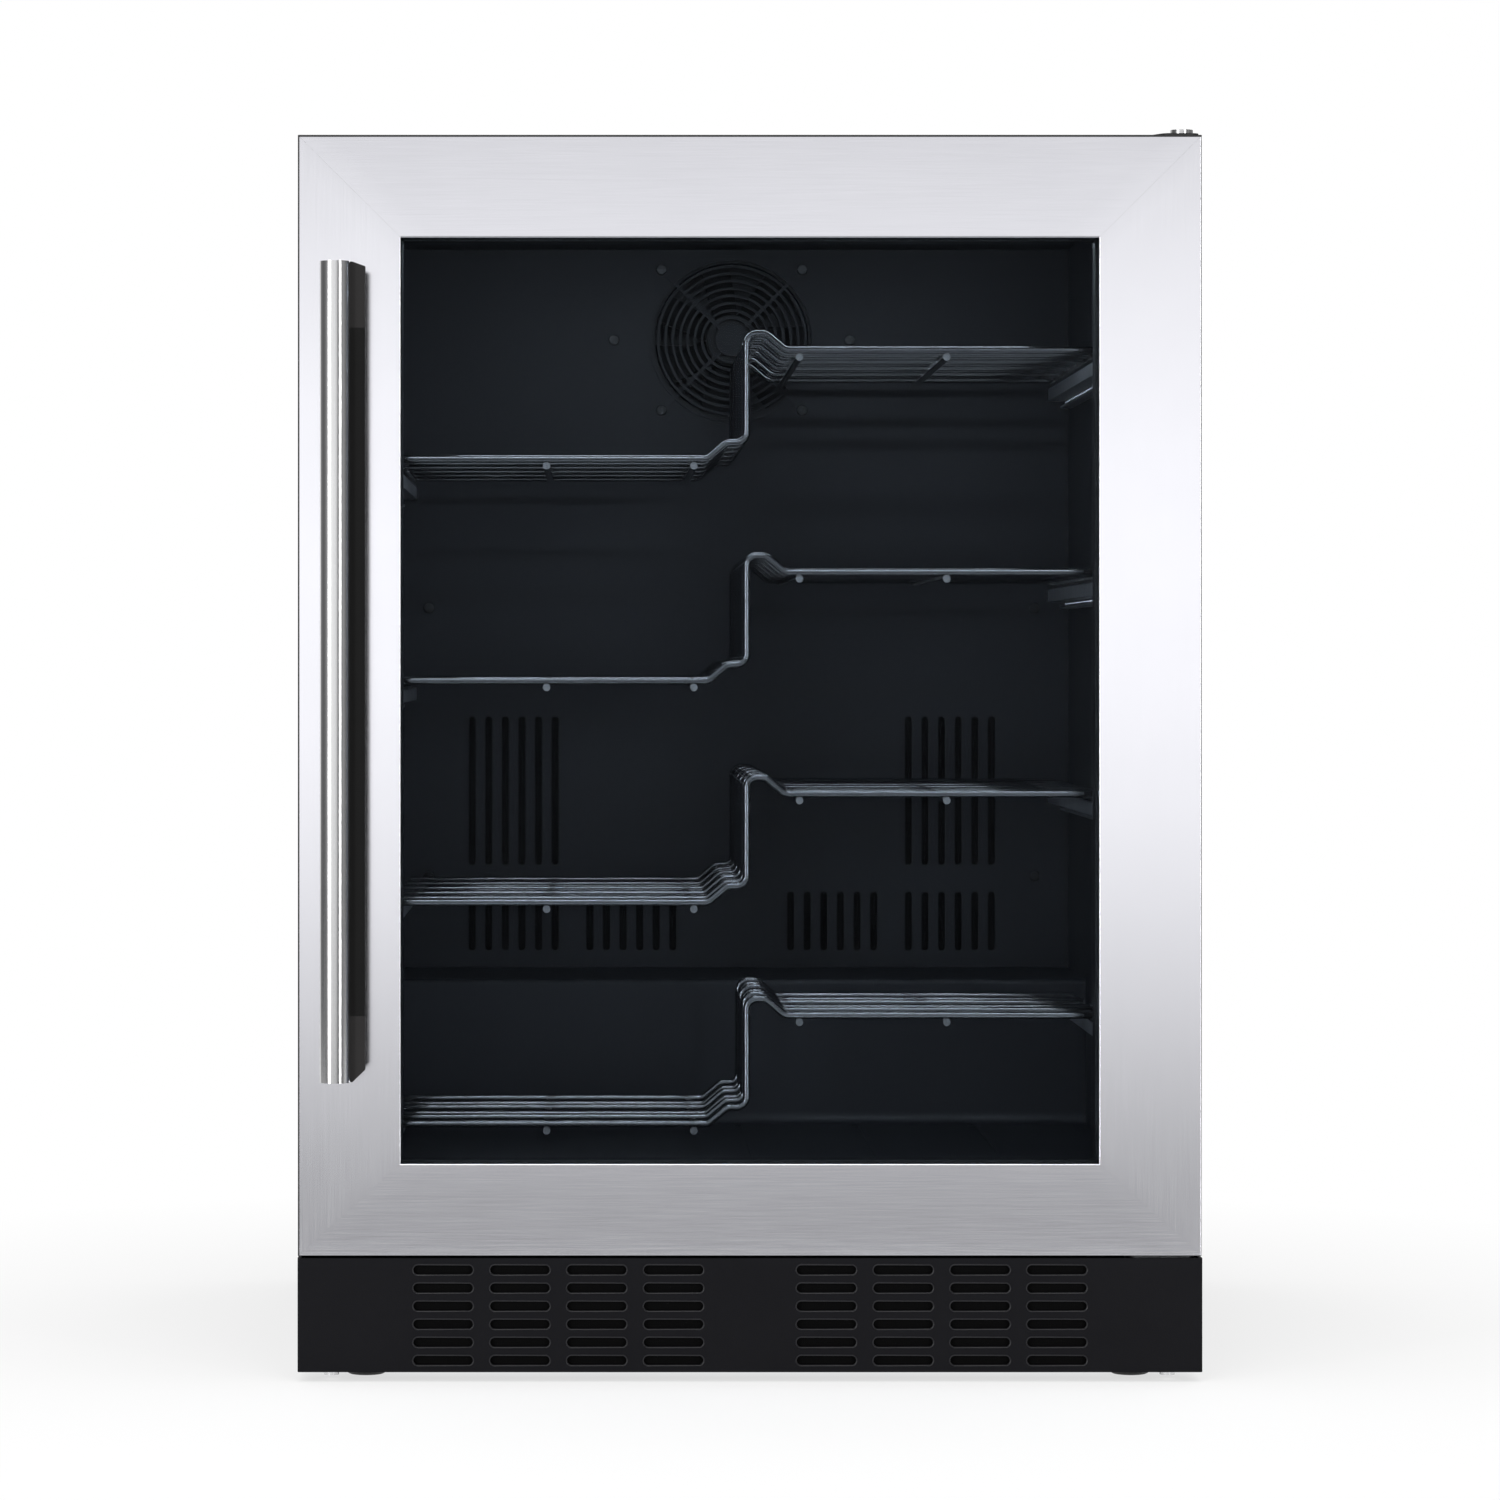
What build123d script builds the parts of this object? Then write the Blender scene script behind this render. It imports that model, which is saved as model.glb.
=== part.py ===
from build123d import *
import os
from math import cos, radians, sin

# Under-counter wine cooler: foamed cabinet, framed glass door, four stepped wire racks on slides.
# Millimetres. +X is right seen from the front, the door faces -Y, +Z is up.
# The origin is on the floor under the middle of the outer box.

os.makedirs("parts", exist_ok=True)

# Cabinet walls, from the outside in
width = 595.0
cabinet_top = 821.0
body_depth = 515.0
sheet = 1.0
side_foam = 42.5
top_foam = 36.0
floor_foam = 40.0
back_foam = 49.0
foam_joint = 0.3
liner_wall = 2.0
liner_corner = 8.0
floor_height = 141.0
groove_count = 5
groove_pitch = 84.0
groove_width = 6.0
groove_depth = 0.8

# Machine compartment: the hump in the liner and the base under it
hump_depth = 188.0
hump_rise = 104.0
hump_round = 4.0
hump_foam = 35.0
base_height = 9.5
base_sheet = 1.5
front_rail_margin = 1.5
front_rail_flange = 30.0
vent_rows = 7
vent_columns = 4
vent_length = 70.0
vent_height = 6.0
vent_row_pitch = 15.0
vent_column_pitch = 95.0
vent_top_margin = 40.0

# Plinth under the door
plinth_wall = 2.5
plinth_bottom = 6.6
plinth_top = 81.5
plinth_flange = 30.0
plinth_slot_length = 39.0
plinth_slot_height = 6.0
plinth_column_pitch = 50.5
plinth_row_pitch = 11.9
plinth_columns = 4
plinth_rows = 6
plinth_group_centre = 126.0
plinth_bolt_inset = 21.5
plinth_bolt_y = 16.0
bolt_radius = 3.0
bolt_head_radius = 5.0
bolt_head = 3.5
bolt_clearance = 0.2

# Levelling feet
foot_inset_side = 43.5
foot_inset_front = 45.0
foot_inset_rear = 45.0
foot_radius = 14.0
foot_pad = 8.0
foot_chamfer = 1.5
stud_radius = 5.0
stud_length = 55.0
stud_clearance = 0.05
socket_radius = 9.0
socket_height = 30.0

# Door
door_thickness = 45.0
door_gap = 10.0
door_side_gap = 0.5
door_top_gap = 1.5
door_foot_gap = 1.5
stile = 67.5
top_rail = 67.0
bottom_rail = 60.5
skin = 1.2
skin_return = 22.0
skin_lip = 6.0
skin_edge = 0.9
mitre_gap = 0.06
glass = 4.0
glass_air = 12.0
glass_lap = 14.0
glass_play = 0.5
spacer_inset = 3.0
spacer_width = 8.0
gasket_width = 20.0
gasket_inset = 16.5
gasket_overlap_top = 10.0
gasket_overlap_floor = 12.0
gasket_gap = 0.3

# Handle
handle_reach = 46.0
handle_inset = 26.0
handle_foot = 117.0
handle_head = 85.5
bar_width = 20.0
bar_depth = 11.0
bar_round = 9.5
grip_depth = 8.0
grip_width = 22.0
grip_shift = 8.5
grip_slope_foot = 8.0
grip_slope_head = 3.0
post_height = 43.0
post_width = 14.0
handle_screw_radius = 2.5
handle_screw_head = 4.5
handle_screw_length = 24.0
handle_screw_grip = 8.0

# Hinges
hinge_inset = 10.5
hinge_back = 15.0
hinge_plate = 3.0
hinge_width = 46.0
hinge_nose = 12.0
hinge_tail = 62.0
hinge_leg = 26.0
hinge_corner = 6.0
pin_radius = 4.0
pin_head_radius = 6.5
pin_head = 2.0
top_plate = 2.0
pin_cap_radius = 7.5
pin_cap = 3.0
pin_clearance = 0.05
bush_radius = 7.0
bush_length = 18.0
hinge_bolt_pitch = 24.0
hinge_bolt_head = 2.0

# Duct panel, its vents and the fan guard
duct_depth = 55.0
panel_wall = 2.0
panel_gap = 0.5
vent_slot = 5.4
vent_pitch = 12.4
vent_count = 6
upper_vent_height = 111.0
upper_vent_lift = 77.0
upper_vent_x = 163.0
lower_vent_height = 44.0
lower_vent_lift = 13.0
lower_vent_x = 75.0
fan_drop = 68.0
guard_wall = 2.0
guard_ring = 1.8
guard_ring_pitch = 5.5
guard_rings = 9
guard_hub = 12.0
guard_spoke = 2.6
guard_eye = 5.0
screw_radius = 1.9
screw_head_radius = 4.0
screw_head = 2.0
screw_clearance = 0.2
screw_round = 0.9
panel_boss = 6.0
panel_screw_inner_x = 88.0
panel_screw_side = 26.0
panel_screw_foot = 69.0
panel_screw_rows = 2

# Fans
fan_size = 120.0
fan_depth = 25.0
fan_hole_pitch = 105.0
fan_wall = 2.5
fan_corner = 6.0
fan_blades = 7
fan_hub = 19.0
fan_cup = 3.0
fan_strut = 5.0
fan_tip_gap = 1.5
spindle_radius = 3.0
spindle_clearance = 0.05
rotor_gap = 1.2
blade_chord = 24.0
blade_thickness = 1.6
blade_pitch_root = 42.0
blade_pitch_tip = 26.0

# Cooling circuit
tube_radius = 4.0
tube_bend = 12.0
fin = 0.6
fin_pitch = 14.0
fin_margin = 6.0
fin_clearance = 0.1
pipe_hole = 7.0
evaporator_half = 150.0
evaporator_lift = 55.0
evaporator_passes = 6
evaporator_pass_gap = 36.0
evaporator_fin_depth = 36.0
condenser_side = 61.5
condenser_length = 150.0
condenser_lift = 23.0
condenser_passes = 6
condenser_pass_gap = 26.0
condenser_fin_depth = 80.0
condenser_fan_gap = 46.0
condenser_fan_lift = 6.0
compressor_side = 157.5
compressor_radius = 72.0
compressor_height = 126.0
compressor_round = 26.0
compressor_seam = 4.0
compressor_seam_height = 5.0
compressor_plate_x = 180.0
compressor_plate_y = 130.0
compressor_plate = 3.0
compressor_plate_corner = 12.0
compressor_mount_inset = 14.0
mount_height = 12.0
mount_radius = 11.0
mount_stem = 5.0
mount_cap = 8.0
mount_cap_height = 3.0
mount_clearance = 0.2
terminal_width = 44.0
terminal_height = 60.0
terminal_depth = 20.0
stub_shift = 30.0
pipe_rise = 26.0
pipe_back = 24.0
pipe_spread = 20.0

# Controls, light and cord gland
control_half = 75.0
control_depth = 60.0
control_height = 18.0
control_setback = 25.0
control_corner = 5.0
window_half = 58.0
window_depth = 30.0
window_wall = 1.5
led_side = 52.0
led_depth = 18.0
led_height = 8.0
led_setback = 100.0
led_lens_wall = 3.0
gland_side = 72.5
gland_z = 42.0
gland_radius = 11.0
gland_rim = 4.0
gland_wall = 3.0
gland_dimple = 4.5

# Racks: bottles lie along X, a higher tray on the right and a lower one on the left
rack_count = 4
rack_drop = 99.0
rack_floor = 95.0
rack_step = 73.0
rack_inset = 31.0
rack_back_gap = 1.0
bottle_pitch = 77.0
cradle_half = 25.0
wire_radius = 2.5
weld_sink = 0.4
tray_end = 13.5
rod_inset = 16.0
rod_overhang = 6.0
tray_inner = 33.0
neck_straight = 7.0
neck_run = 13.0
neck_rise = 11.0
neck_bend = 7.0
slide_drop = 7.0
slide_height = 14.0
slide_reach = 8.5
slide_wall = 1.5
tongue = 3.0
tongue_gap = 1.5
runner_web = 3.0
runner_setback = 16.0

# Places worked out from the sizes above
half = width / 2
total_depth = handle_reach + door_thickness + door_gap + body_depth
y_back = total_depth / 2
y_rim = y_back - body_depth
y_door_back = y_rim - door_gap
y_door = y_door_back - door_thickness
cavity_x = half - sheet - side_foam - liner_wall
cavity_top = cabinet_top - sheet - top_foam - liner_wall
cavity_back = y_back - sheet - back_foam - liner_wall
foam_x = cavity_x + liner_wall
foam_bottom = floor_height - liner_wall - floor_foam
hump_y = cavity_back - hump_depth
hump_z = floor_height + hump_rise
foot_x = half - foot_inset_side
condenser_left = condenser_side - half
condenser_right = condenser_left + condenser_length
compressor_x = half - compressor_side
gland_x = half - gland_side
evaporator_bottom = hump_z + evaporator_lift
machine_y = hump_y + liner_wall + hump_foam
machine_z = hump_z - liner_wall - hump_foam
base_top = base_height + base_sheet
duct_y = cavity_back - duct_depth
duct_back = duct_y + panel_wall
fan_z = cavity_top - fan_drop
hinge_x = half - hinge_inset
hinge_y = y_door_back - hinge_back
door_left = -half + door_side_gap
door_right = half - door_side_gap
door_bottom = plinth_top + door_foot_gap
door_top = cabinet_top - door_top_gap
pipe_y = (duct_back + cavity_back) / 2
machine_mid_y = (machine_y + y_back) / 2
compressor_base = base_top + mount_height
compressor_crown = compressor_base + compressor_plate + compressor_height
door_box = (door_left, door_right, door_bottom, door_top)
glass_opening = (door_left + stile, door_right - stile, door_bottom + bottom_rail, door_top - top_rail)
guard_radius = guard_hub + guard_rings * guard_ring_pitch
fan_holes = [(x, fan_z + z) for x in (-fan_hole_pitch / 2, fan_hole_pitch / 2)
             for z in (-fan_hole_pitch / 2, fan_hole_pitch / 2)]
panel_holes = [(side * panel_screw_inner_x, fan_z) for side in (-1, 1)]
panel_screw_pitch = (fan_z - hump_z - panel_screw_foot) / panel_screw_rows
panel_holes += [(side * (cavity_x - panel_screw_side), fan_z - (row + 1) * panel_screw_pitch)
                for side in (-1, 1) for row in range(panel_screw_rows)]
feet = {
    "foot_front_left": (-foot_x, y_door + foot_inset_front),
    "foot_front_right": (foot_x, y_door + foot_inset_front),
    "foot_rear_left": (-foot_x, y_back - foot_inset_rear),
    "foot_rear_right": (foot_x, y_back - foot_inset_rear),
}
plinth_bolts_at = [(side * (half - plinth_bolt_inset), y_door + plinth_bolt_y) for side in (-1, 1)]
pipe_holes_at = [condenser_right + 3 * tube_bend, evaporator_half + 2 * tube_bend + pipe_spread]
plate_left = half - hinge_width
leg_bottom = plinth_top - hinge_leg
top_bolts = [(plate_left + hinge_width / 2, y_rim + hinge_bolt_pitch * (i + 0.5)) for i in (0, 1)]
leg_bolt_z = leg_bottom + hinge_leg / 2 - hinge_plate
leg_bolts = [(plate_left + (hinge_width + i * hinge_bolt_pitch) / 2, leg_bolt_z) for i in (-1, 1)]


def block(low, high, mode=Mode.ADD):
    """A box between two corners."""
    middle = tuple((a + b) / 2 for a, b in zip(low, high))
    with Locations(middle):
        Box(*(b - a for a, b in zip(low, high)), mode=mode)


def facing(y):
    """A plane across the cabinet at depth y, seen from the front: X to the right, Z up."""
    return Plane(origin=(0, y, 0), x_dir=(1, 0, 0), z_dir=(0, -1, 0))


def grown(box, by):
    """A rectangle (x0, x1, z0, z1) moved outwards on all four sides."""
    return (box[0] - by, box[1] + by, box[2] - by, box[3] + by)


def panel(box, mode=Mode.ADD):
    """The rectangle (x0, x1, z0, z1), drawn in the sketch on a plane that faces the front."""
    with Locations(((box[0] + box[1]) / 2, (box[2] + box[3]) / 2)):
        Rectangle(box[1] - box[0], box[3] - box[2], mode=mode)


def ring(y0, y1, outer, inner):
    """A rectangular frame from depth y0 back to depth y1."""
    with BuildSketch(facing(y0)) as frame:
        panel(outer)
        panel(inner, Mode.SUBTRACT)
    extrude(frame.sketch, amount=y0 - y1)


def mitre(y0, y1, outer, inner):
    """Saw a rectangular frame into four bars, from each outer corner to the inner corner."""
    with BuildSketch(facing(y0)) as cuts:
        for i in (0, 1):
            for j in (2, 3):
                far = Vector(outer[i], outer[j])
                run = Vector(inner[i], inner[j]) - far
                with BuildLine():
                    Line(far - run * 0.2, far + run * 1.2)
                trace(line_width=mitre_gap)
    extrude(cuts.sketch, amount=y0 - y1, mode=Mode.SUBTRACT)


def bores(points, radius, y0, y1, mode=Mode.SUBTRACT):
    """Round holes or pins along the depth, from y0 back to y1, at (x, z) points."""
    with BuildSketch(facing(y0)) as rounds:
        with Locations(points):
            Circle(radius)
    extrude(rounds.sketch, amount=y0 - y1, mode=mode)


def uprights(points, radius, z0, z1, mode=Mode.ADD):
    """Upright round bars or holes between two heights at (x, y) points."""
    with BuildSketch(Plane.XY.offset(z0)) as rounds:
        with Locations(points):
            Circle(radius)
    extrude(rounds.sketch, amount=z1 - z0, mode=mode)


def bent_tube(points, radius, bend):
    """A round tube along straight runs with rounded corners."""
    with BuildLine() as route:
        FilletPolyline(*points, radius=bend)
    with BuildSketch(Plane(origin=route.line @ 0, z_dir=route.line % 0)) as section:
        Circle(radius)
    sweep(sections=section.sketch, path=route.line)


def write(builder, label):
    """Label a finished piece and write it to its own file."""
    builder.part.label = label
    export_step(builder.part, f"parts/{label}.step")


# Outer steel panels
with BuildPart() as side_panels:
    for side in (-1, 1):
        block((min(side * half, side * (half - sheet)), y_rim, base_height),
              (max(side * half, side * (half - sheet)), y_back, cabinet_top - sheet))
write(side_panels, "side_panels")

with BuildPart() as top_panel:
    block((-half, y_rim, cabinet_top - sheet), (half, y_back, cabinet_top))
    uprights(top_bolts, bolt_radius + bolt_clearance, cabinet_top - sheet, cabinet_top, Mode.SUBTRACT)
write(top_panel, "top_panel")

with BuildPart() as rear_panel:
    block((-half + sheet, y_back - sheet, machine_z), (half - sheet, y_back, cabinet_top - sheet))
write(rear_panel, "rear_panel")

with BuildPart() as rear_vent_cover:
    block((-half + sheet, y_back - sheet, base_height), (half - sheet, y_back, machine_z))
    with BuildSketch(facing(y_back - sheet)):
        with Locations((0, machine_z - vent_top_margin - (vent_rows - 1) * vent_row_pitch / 2)):
            with GridLocations(vent_column_pitch, vent_row_pitch, vent_columns, vent_rows):
                SlotOverall(vent_length, vent_height)
        with Locations((gland_x, gland_z)):
            Circle(gland_radius)
    extrude(amount=-sheet, mode=Mode.SUBTRACT)
write(rear_vent_cover, "rear_vent_cover")

# Base: a pan that reaches forward under the door, and a rail across the front of the cabinet
with BuildPart() as base_pan:
    block((-half + sheet, y_rim, base_height), (half - sheet, y_back - sheet, base_top))
    block((-half + plinth_wall, y_door + plinth_wall, base_height), (half - plinth_wall, y_rim, base_top))
    uprights(list(feet.values()), stud_radius + bolt_clearance, base_height, base_top, Mode.SUBTRACT)
    uprights(plinth_bolts_at, bolt_radius + bolt_clearance, base_height, base_top, Mode.SUBTRACT)
write(base_pan, "base_pan")

with BuildPart() as front_rail:
    block((-half + sheet, y_rim, leg_bottom - front_rail_margin),
          (half - sheet, y_rim + base_sheet, foam_bottom))
    block((-half + sheet, y_rim, foam_bottom - base_sheet),
          (half - sheet, y_rim + front_rail_flange, foam_bottom))
    bores(leg_bolts, bolt_radius + bolt_clearance, y_rim, y_rim + base_sheet)
write(front_rail, "front_rail")

with BuildPart() as foot_sockets:
    uprights(list(feet.values()), socket_radius, base_top, base_top + socket_height)
    uprights(list(feet.values()), stud_radius + stud_clearance, base_top, base_top + socket_height,
             Mode.SUBTRACT)
write(foot_sockets, "foot_sockets")

for label, place in feet.items():
    with BuildPart() as foot:
        uprights([place], foot_radius, 0, foot_pad)
        chamfer(foot.edges().filter_by(GeomType.CIRCLE), foot_chamfer)
        uprights([place], stud_radius, foot_pad, foot_pad + stud_length)
    write(foot, label)

# Plinth: slotted front and two plain ends that close it back to the cabinet
with BuildPart() as plinth_grille:
    block((-half, y_door, plinth_bottom), (half, y_door + plinth_wall, plinth_top))
    fillet(plinth_grille.edges().filter_by(Axis.Z).group_by(Axis.Y)[0], plinth_wall * 0.6)
    with BuildSketch(facing(y_door)):
        for side in (-1, 1):
            with Locations((side * plinth_group_centre, (plinth_bottom + plinth_top) / 2)):
                with GridLocations(plinth_column_pitch, plinth_row_pitch, plinth_columns, plinth_rows):
                    SlotOverall(plinth_slot_length, plinth_slot_height)
    extrude(amount=-plinth_wall, mode=Mode.SUBTRACT)
    block((-half + plinth_wall, y_door + plinth_wall, plinth_bottom),
          (half - plinth_wall, y_door + plinth_flange, plinth_bottom + plinth_wall))
    uprights(plinth_bolts_at, bolt_radius + bolt_clearance, plinth_bottom, plinth_bottom + plinth_wall,
             Mode.SUBTRACT)
write(plinth_grille, "plinth_grille")

with BuildPart() as plinth_ends:
    for side in (-1, 1):
        block((min(side * half, side * (half - plinth_wall)), y_door + plinth_wall, plinth_bottom),
              (max(side * half, side * (half - plinth_wall)), y_rim, plinth_top))
write(plinth_ends, "plinth_ends")

with BuildPart() as plinth_bolts:
    uprights(plinth_bolts_at, bolt_head_radius, plinth_bottom - bolt_head, plinth_bottom)
    uprights(plinth_bolts_at, bolt_radius, plinth_bottom, base_top + bolt_head)
write(plinth_bolts, "plinth_bolts")

# Foam slabs behind the liner
foam_front = y_rim + liner_wall
foam_back = y_back - sheet
foam_top = cavity_top + liner_wall
slab_x = foam_x - foam_joint
with BuildPart() as insulation:
    for side in (-1, 1):
        block((min(side * foam_x, side * (half - sheet)), foam_front, foam_bottom),
              (max(side * foam_x, side * (half - sheet)), foam_back, cabinet_top - sheet))
    block((-slab_x, foam_front, foam_top), (slab_x, foam_back, cabinet_top - sheet))
    block((-slab_x, cavity_back + liner_wall, machine_z), (slab_x, foam_back, foam_top - foam_joint))
    block((-slab_x, machine_y, machine_z),
          (slab_x, cavity_back + liner_wall - foam_joint, hump_z - liner_wall))
    block((-slab_x, hump_y + liner_wall, foam_bottom),
          (slab_x, machine_y - foam_joint, hump_z - liner_wall))
    block((-slab_x, foam_front, foam_bottom),
          (slab_x, hump_y + liner_wall - foam_joint, floor_height - liner_wall))
    uprights([(x, pipe_y) for x in pipe_holes_at], pipe_hole, machine_z, hump_z - liner_wall, Mode.SUBTRACT)
write(insulation, "insulation")

# Inner liner: one moulded skin with a front rim, the machine hump and posts for the duct panel
with BuildPart() as cavity:
    with BuildSketch(Plane.YZ) as profile:
        Polygon((y_rim - liner_wall, floor_height), (hump_y, floor_height), (hump_y, hump_z),
                (cavity_back, hump_z), (cavity_back, cavity_top), (y_rim - liner_wall, cavity_top),
                align=None)
        hump_edge = (hump_y, hump_z)
        fillet(profile.vertices().sort_by(Axis.X)[2:].sort_by_distance(hump_edge)[1:], liner_corner)
        fillet(profile.vertices().sort_by_distance(hump_edge)[0], hump_round)
    extrude(amount=cavity_x, both=True)

with BuildPart() as inner_liner:
    with BuildSketch(Plane.YZ):
        Polygon((y_rim, floor_height - liner_wall), (hump_y + liner_wall, floor_height - liner_wall),
                (hump_y + liner_wall, hump_z - liner_wall), (cavity_back + liner_wall, hump_z - liner_wall),
                (cavity_back + liner_wall, foam_top), (y_rim, foam_top), align=None)
    extrude(amount=foam_x, both=True)
    block((-half + sheet, y_rim, foam_bottom), (half - sheet, foam_front, cabinet_top - sheet))
    add(cavity.part, mode=Mode.SUBTRACT)
    with BuildSketch(Plane.XY.offset(floor_height)):
        with Locations((0, (y_rim + hump_y) / 2)):
            with GridLocations(groove_pitch, 1, groove_count, 1):
                SlotOverall(hump_y - y_rim - 4 * liner_corner, groove_width, rotation=90)
    extrude(amount=-groove_depth, mode=Mode.SUBTRACT)
    bores(panel_holes, panel_boss, duct_back, cavity_back, Mode.ADD)
    bores(panel_holes, screw_radius + screw_clearance, duct_back, cavity_back - liner_wall)
    uprights([(x, pipe_y) for x in pipe_holes_at], pipe_hole, hump_z - liner_wall, hump_z, Mode.SUBTRACT)
write(inner_liner, "inner_liner")

# Duct panel over the evaporator, with its vents and the fan guard
panel_x = cavity_x - panel_gap
with BuildPart() as duct_panel:
    block((-panel_x, duct_y, hump_z + panel_gap), (panel_x, duct_back, cavity_top - panel_gap))
    for side in (-1, 1):
        edge = panel_x - panel_wall
        block((min(side * panel_x, side * edge), duct_back, hump_z + liner_corner),
              (max(side * panel_x, side * edge), cavity_back - liner_corner, cavity_top - liner_corner))
    with BuildSketch(facing(duct_y)):
        with Locations((0, fan_z)):
            Circle(guard_radius - guard_ring)
        for x, lift, height in ((upper_vent_x, upper_vent_lift, upper_vent_height),
                                (upper_vent_x, lower_vent_lift, lower_vent_height),
                                (lower_vent_x, lower_vent_lift, lower_vent_height)):
            for side in (-1, 1):
                with Locations((side * x, hump_z + lift + height / 2)):
                    with GridLocations(vent_pitch, 1, vent_count, 1):
                        SlotOverall(height, vent_slot, rotation=90)
        with Locations(fan_holes + panel_holes):
            Circle(screw_radius + screw_clearance)
    extrude(amount=-panel_wall, mode=Mode.SUBTRACT)
write(duct_panel, "duct_panel")

with BuildPart() as fan_guard:
    with BuildSketch(facing(duct_y)):
        with Locations((0, fan_z)):
            for i in range(guard_rings):
                outer = guard_radius - i * guard_ring_pitch
                Circle(outer)
                Circle(outer - guard_ring, mode=Mode.SUBTRACT)
            Circle(guard_hub)
            for turn in (45, -45):
                Rectangle(fan_hole_pitch * 2 ** 0.5, guard_spoke, rotation=turn)
        with Locations(fan_holes):
            Circle(guard_eye)
            Circle(screw_radius + screw_clearance, mode=Mode.SUBTRACT)
    extrude(amount=guard_wall)
write(fan_guard, "fan_guard")

with BuildPart() as panel_screws:
    bores(fan_holes, screw_head_radius, duct_y - guard_wall - screw_head, duct_y - guard_wall, Mode.ADD)
    bores(panel_holes, screw_head_radius, duct_y - screw_head, duct_y, Mode.ADD)
    rims = [edge for face in panel_screws.faces().filter_by(Axis.Y) if face.normal_at().Y < 0
            for edge in face.edges()]
    fillet(rims, screw_round)
    bores(fan_holes, screw_radius, duct_y - guard_wall, duct_back + fan_depth, Mode.ADD)
    bores(panel_holes, screw_radius, duct_y, cavity_back - liner_wall, Mode.ADD)
write(panel_screws, "panel_screws")


def make_fan(frame_label, rotor_label, place):
    """A square axial fan on a plane: its frame with a spindle, and the rotor that turns on it."""
    bore = fan_size / 2 - fan_wall
    cup_bottom = fan_depth - fan_cup
    hub_top = cup_bottom - rotor_gap
    with BuildPart() as frame:
        with BuildSketch(place):
            RectangleRounded(fan_size, fan_size, fan_corner)
            Circle(bore, mode=Mode.SUBTRACT)
            with GridLocations(fan_hole_pitch, fan_hole_pitch, 2, 2):
                Circle(screw_radius + screw_clearance, mode=Mode.SUBTRACT)
        extrude(amount=fan_depth)
        with BuildSketch(place.offset(cup_bottom)):
            Circle(fan_hub)
            for turn in (0, 90):
                Rectangle(2 * bore + fan_wall, fan_strut, rotation=turn)
        extrude(amount=fan_cup)
        with BuildSketch(place.offset(2 * rotor_gap)):
            Circle(spindle_radius)
        extrude(amount=cup_bottom - 2 * rotor_gap)
    write(frame, frame_label)

    with BuildPart() as rotor:
        with BuildSketch(place.offset(rotor_gap)):
            Circle(fan_hub)
        extrude(amount=hub_top - rotor_gap)
        for i in range(fan_blades):
            turn = radians(i * 360 / fan_blades)
            out = place.x_dir * cos(turn) + place.y_dir * sin(turn)
            along = place.y_dir * cos(turn) - place.x_dir * sin(turn)
            middle = place.origin + place.z_dir * (rotor_gap + hub_top) / 2
            stations = ((fan_hub * 0.9, blade_pitch_root), (bore - fan_tip_gap, blade_pitch_tip))
            for radius, pitch in stations:
                chord = along * cos(radians(pitch)) + place.z_dir * sin(radians(pitch))
                with BuildSketch(Plane(origin=middle + out * radius, x_dir=chord, z_dir=out)):
                    Rectangle(blade_chord, blade_thickness)
            loft()
        with BuildSketch(place.offset(2 * rotor_gap - spindle_clearance)):
            Circle(spindle_radius + spindle_clearance)
        extrude(amount=hub_top, mode=Mode.SUBTRACT)
    write(rotor, rotor_label)


make_fan("evaporator_fan_frame", "evaporator_fan_rotor",
         Plane(origin=(0, duct_back, fan_z), x_dir=(1, 0, 0), z_dir=(0, 1, 0)))
make_fan("condenser_fan_frame", "condenser_fan_rotor",
         Plane(origin=(condenser_right + condenser_fan_gap, machine_mid_y,
                       base_top + condenser_fan_lift + fan_size / 2),
               x_dir=(0, 1, 0), z_dir=(1, 0, 0)))


def make_coil(label, left, right, y, bottom, passes, gap, depth):
    """A finned coil: one tube going to and fro along X, and upright fins around its passes."""
    levels = [bottom + i * gap for i in range(passes)]
    route = []
    for i, z in enumerate(levels):
        ends = (right, left) if i % 2 == 0 else (left, right)
        route += [(x, y, z) for x in ends]
    count = int((right - left - gap - 2 * fin_margin) // fin_pitch)
    with BuildPart() as coil:
        bent_tube(route, tube_radius, gap * 0.49)
        for i in range(count + 1):
            with BuildSketch(Plane.YZ.offset((left + right - count * fin_pitch) / 2 + i * fin_pitch)):
                with Locations((y, (levels[0] + levels[-1]) / 2)):
                    Rectangle(depth, levels[-1] - levels[0] + gap * 0.8)
                with Locations([(y, z) for z in levels]):
                    Circle(tube_radius + fin_clearance, mode=Mode.SUBTRACT)
            extrude(amount=fin)
    write(coil, label)
    return (right, y, levels[0]), (right, y, levels[-1])


evaporator_in, evaporator_out = make_coil(
    "evaporator", -evaporator_half, evaporator_half, pipe_y, evaporator_bottom, evaporator_passes,
    evaporator_pass_gap, evaporator_fin_depth)
condenser_in, condenser_out = make_coil(
    "condenser", condenser_left, condenser_right, machine_mid_y, base_top + condenser_lift,
    condenser_passes, condenser_pass_gap, condenser_fin_depth)

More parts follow.
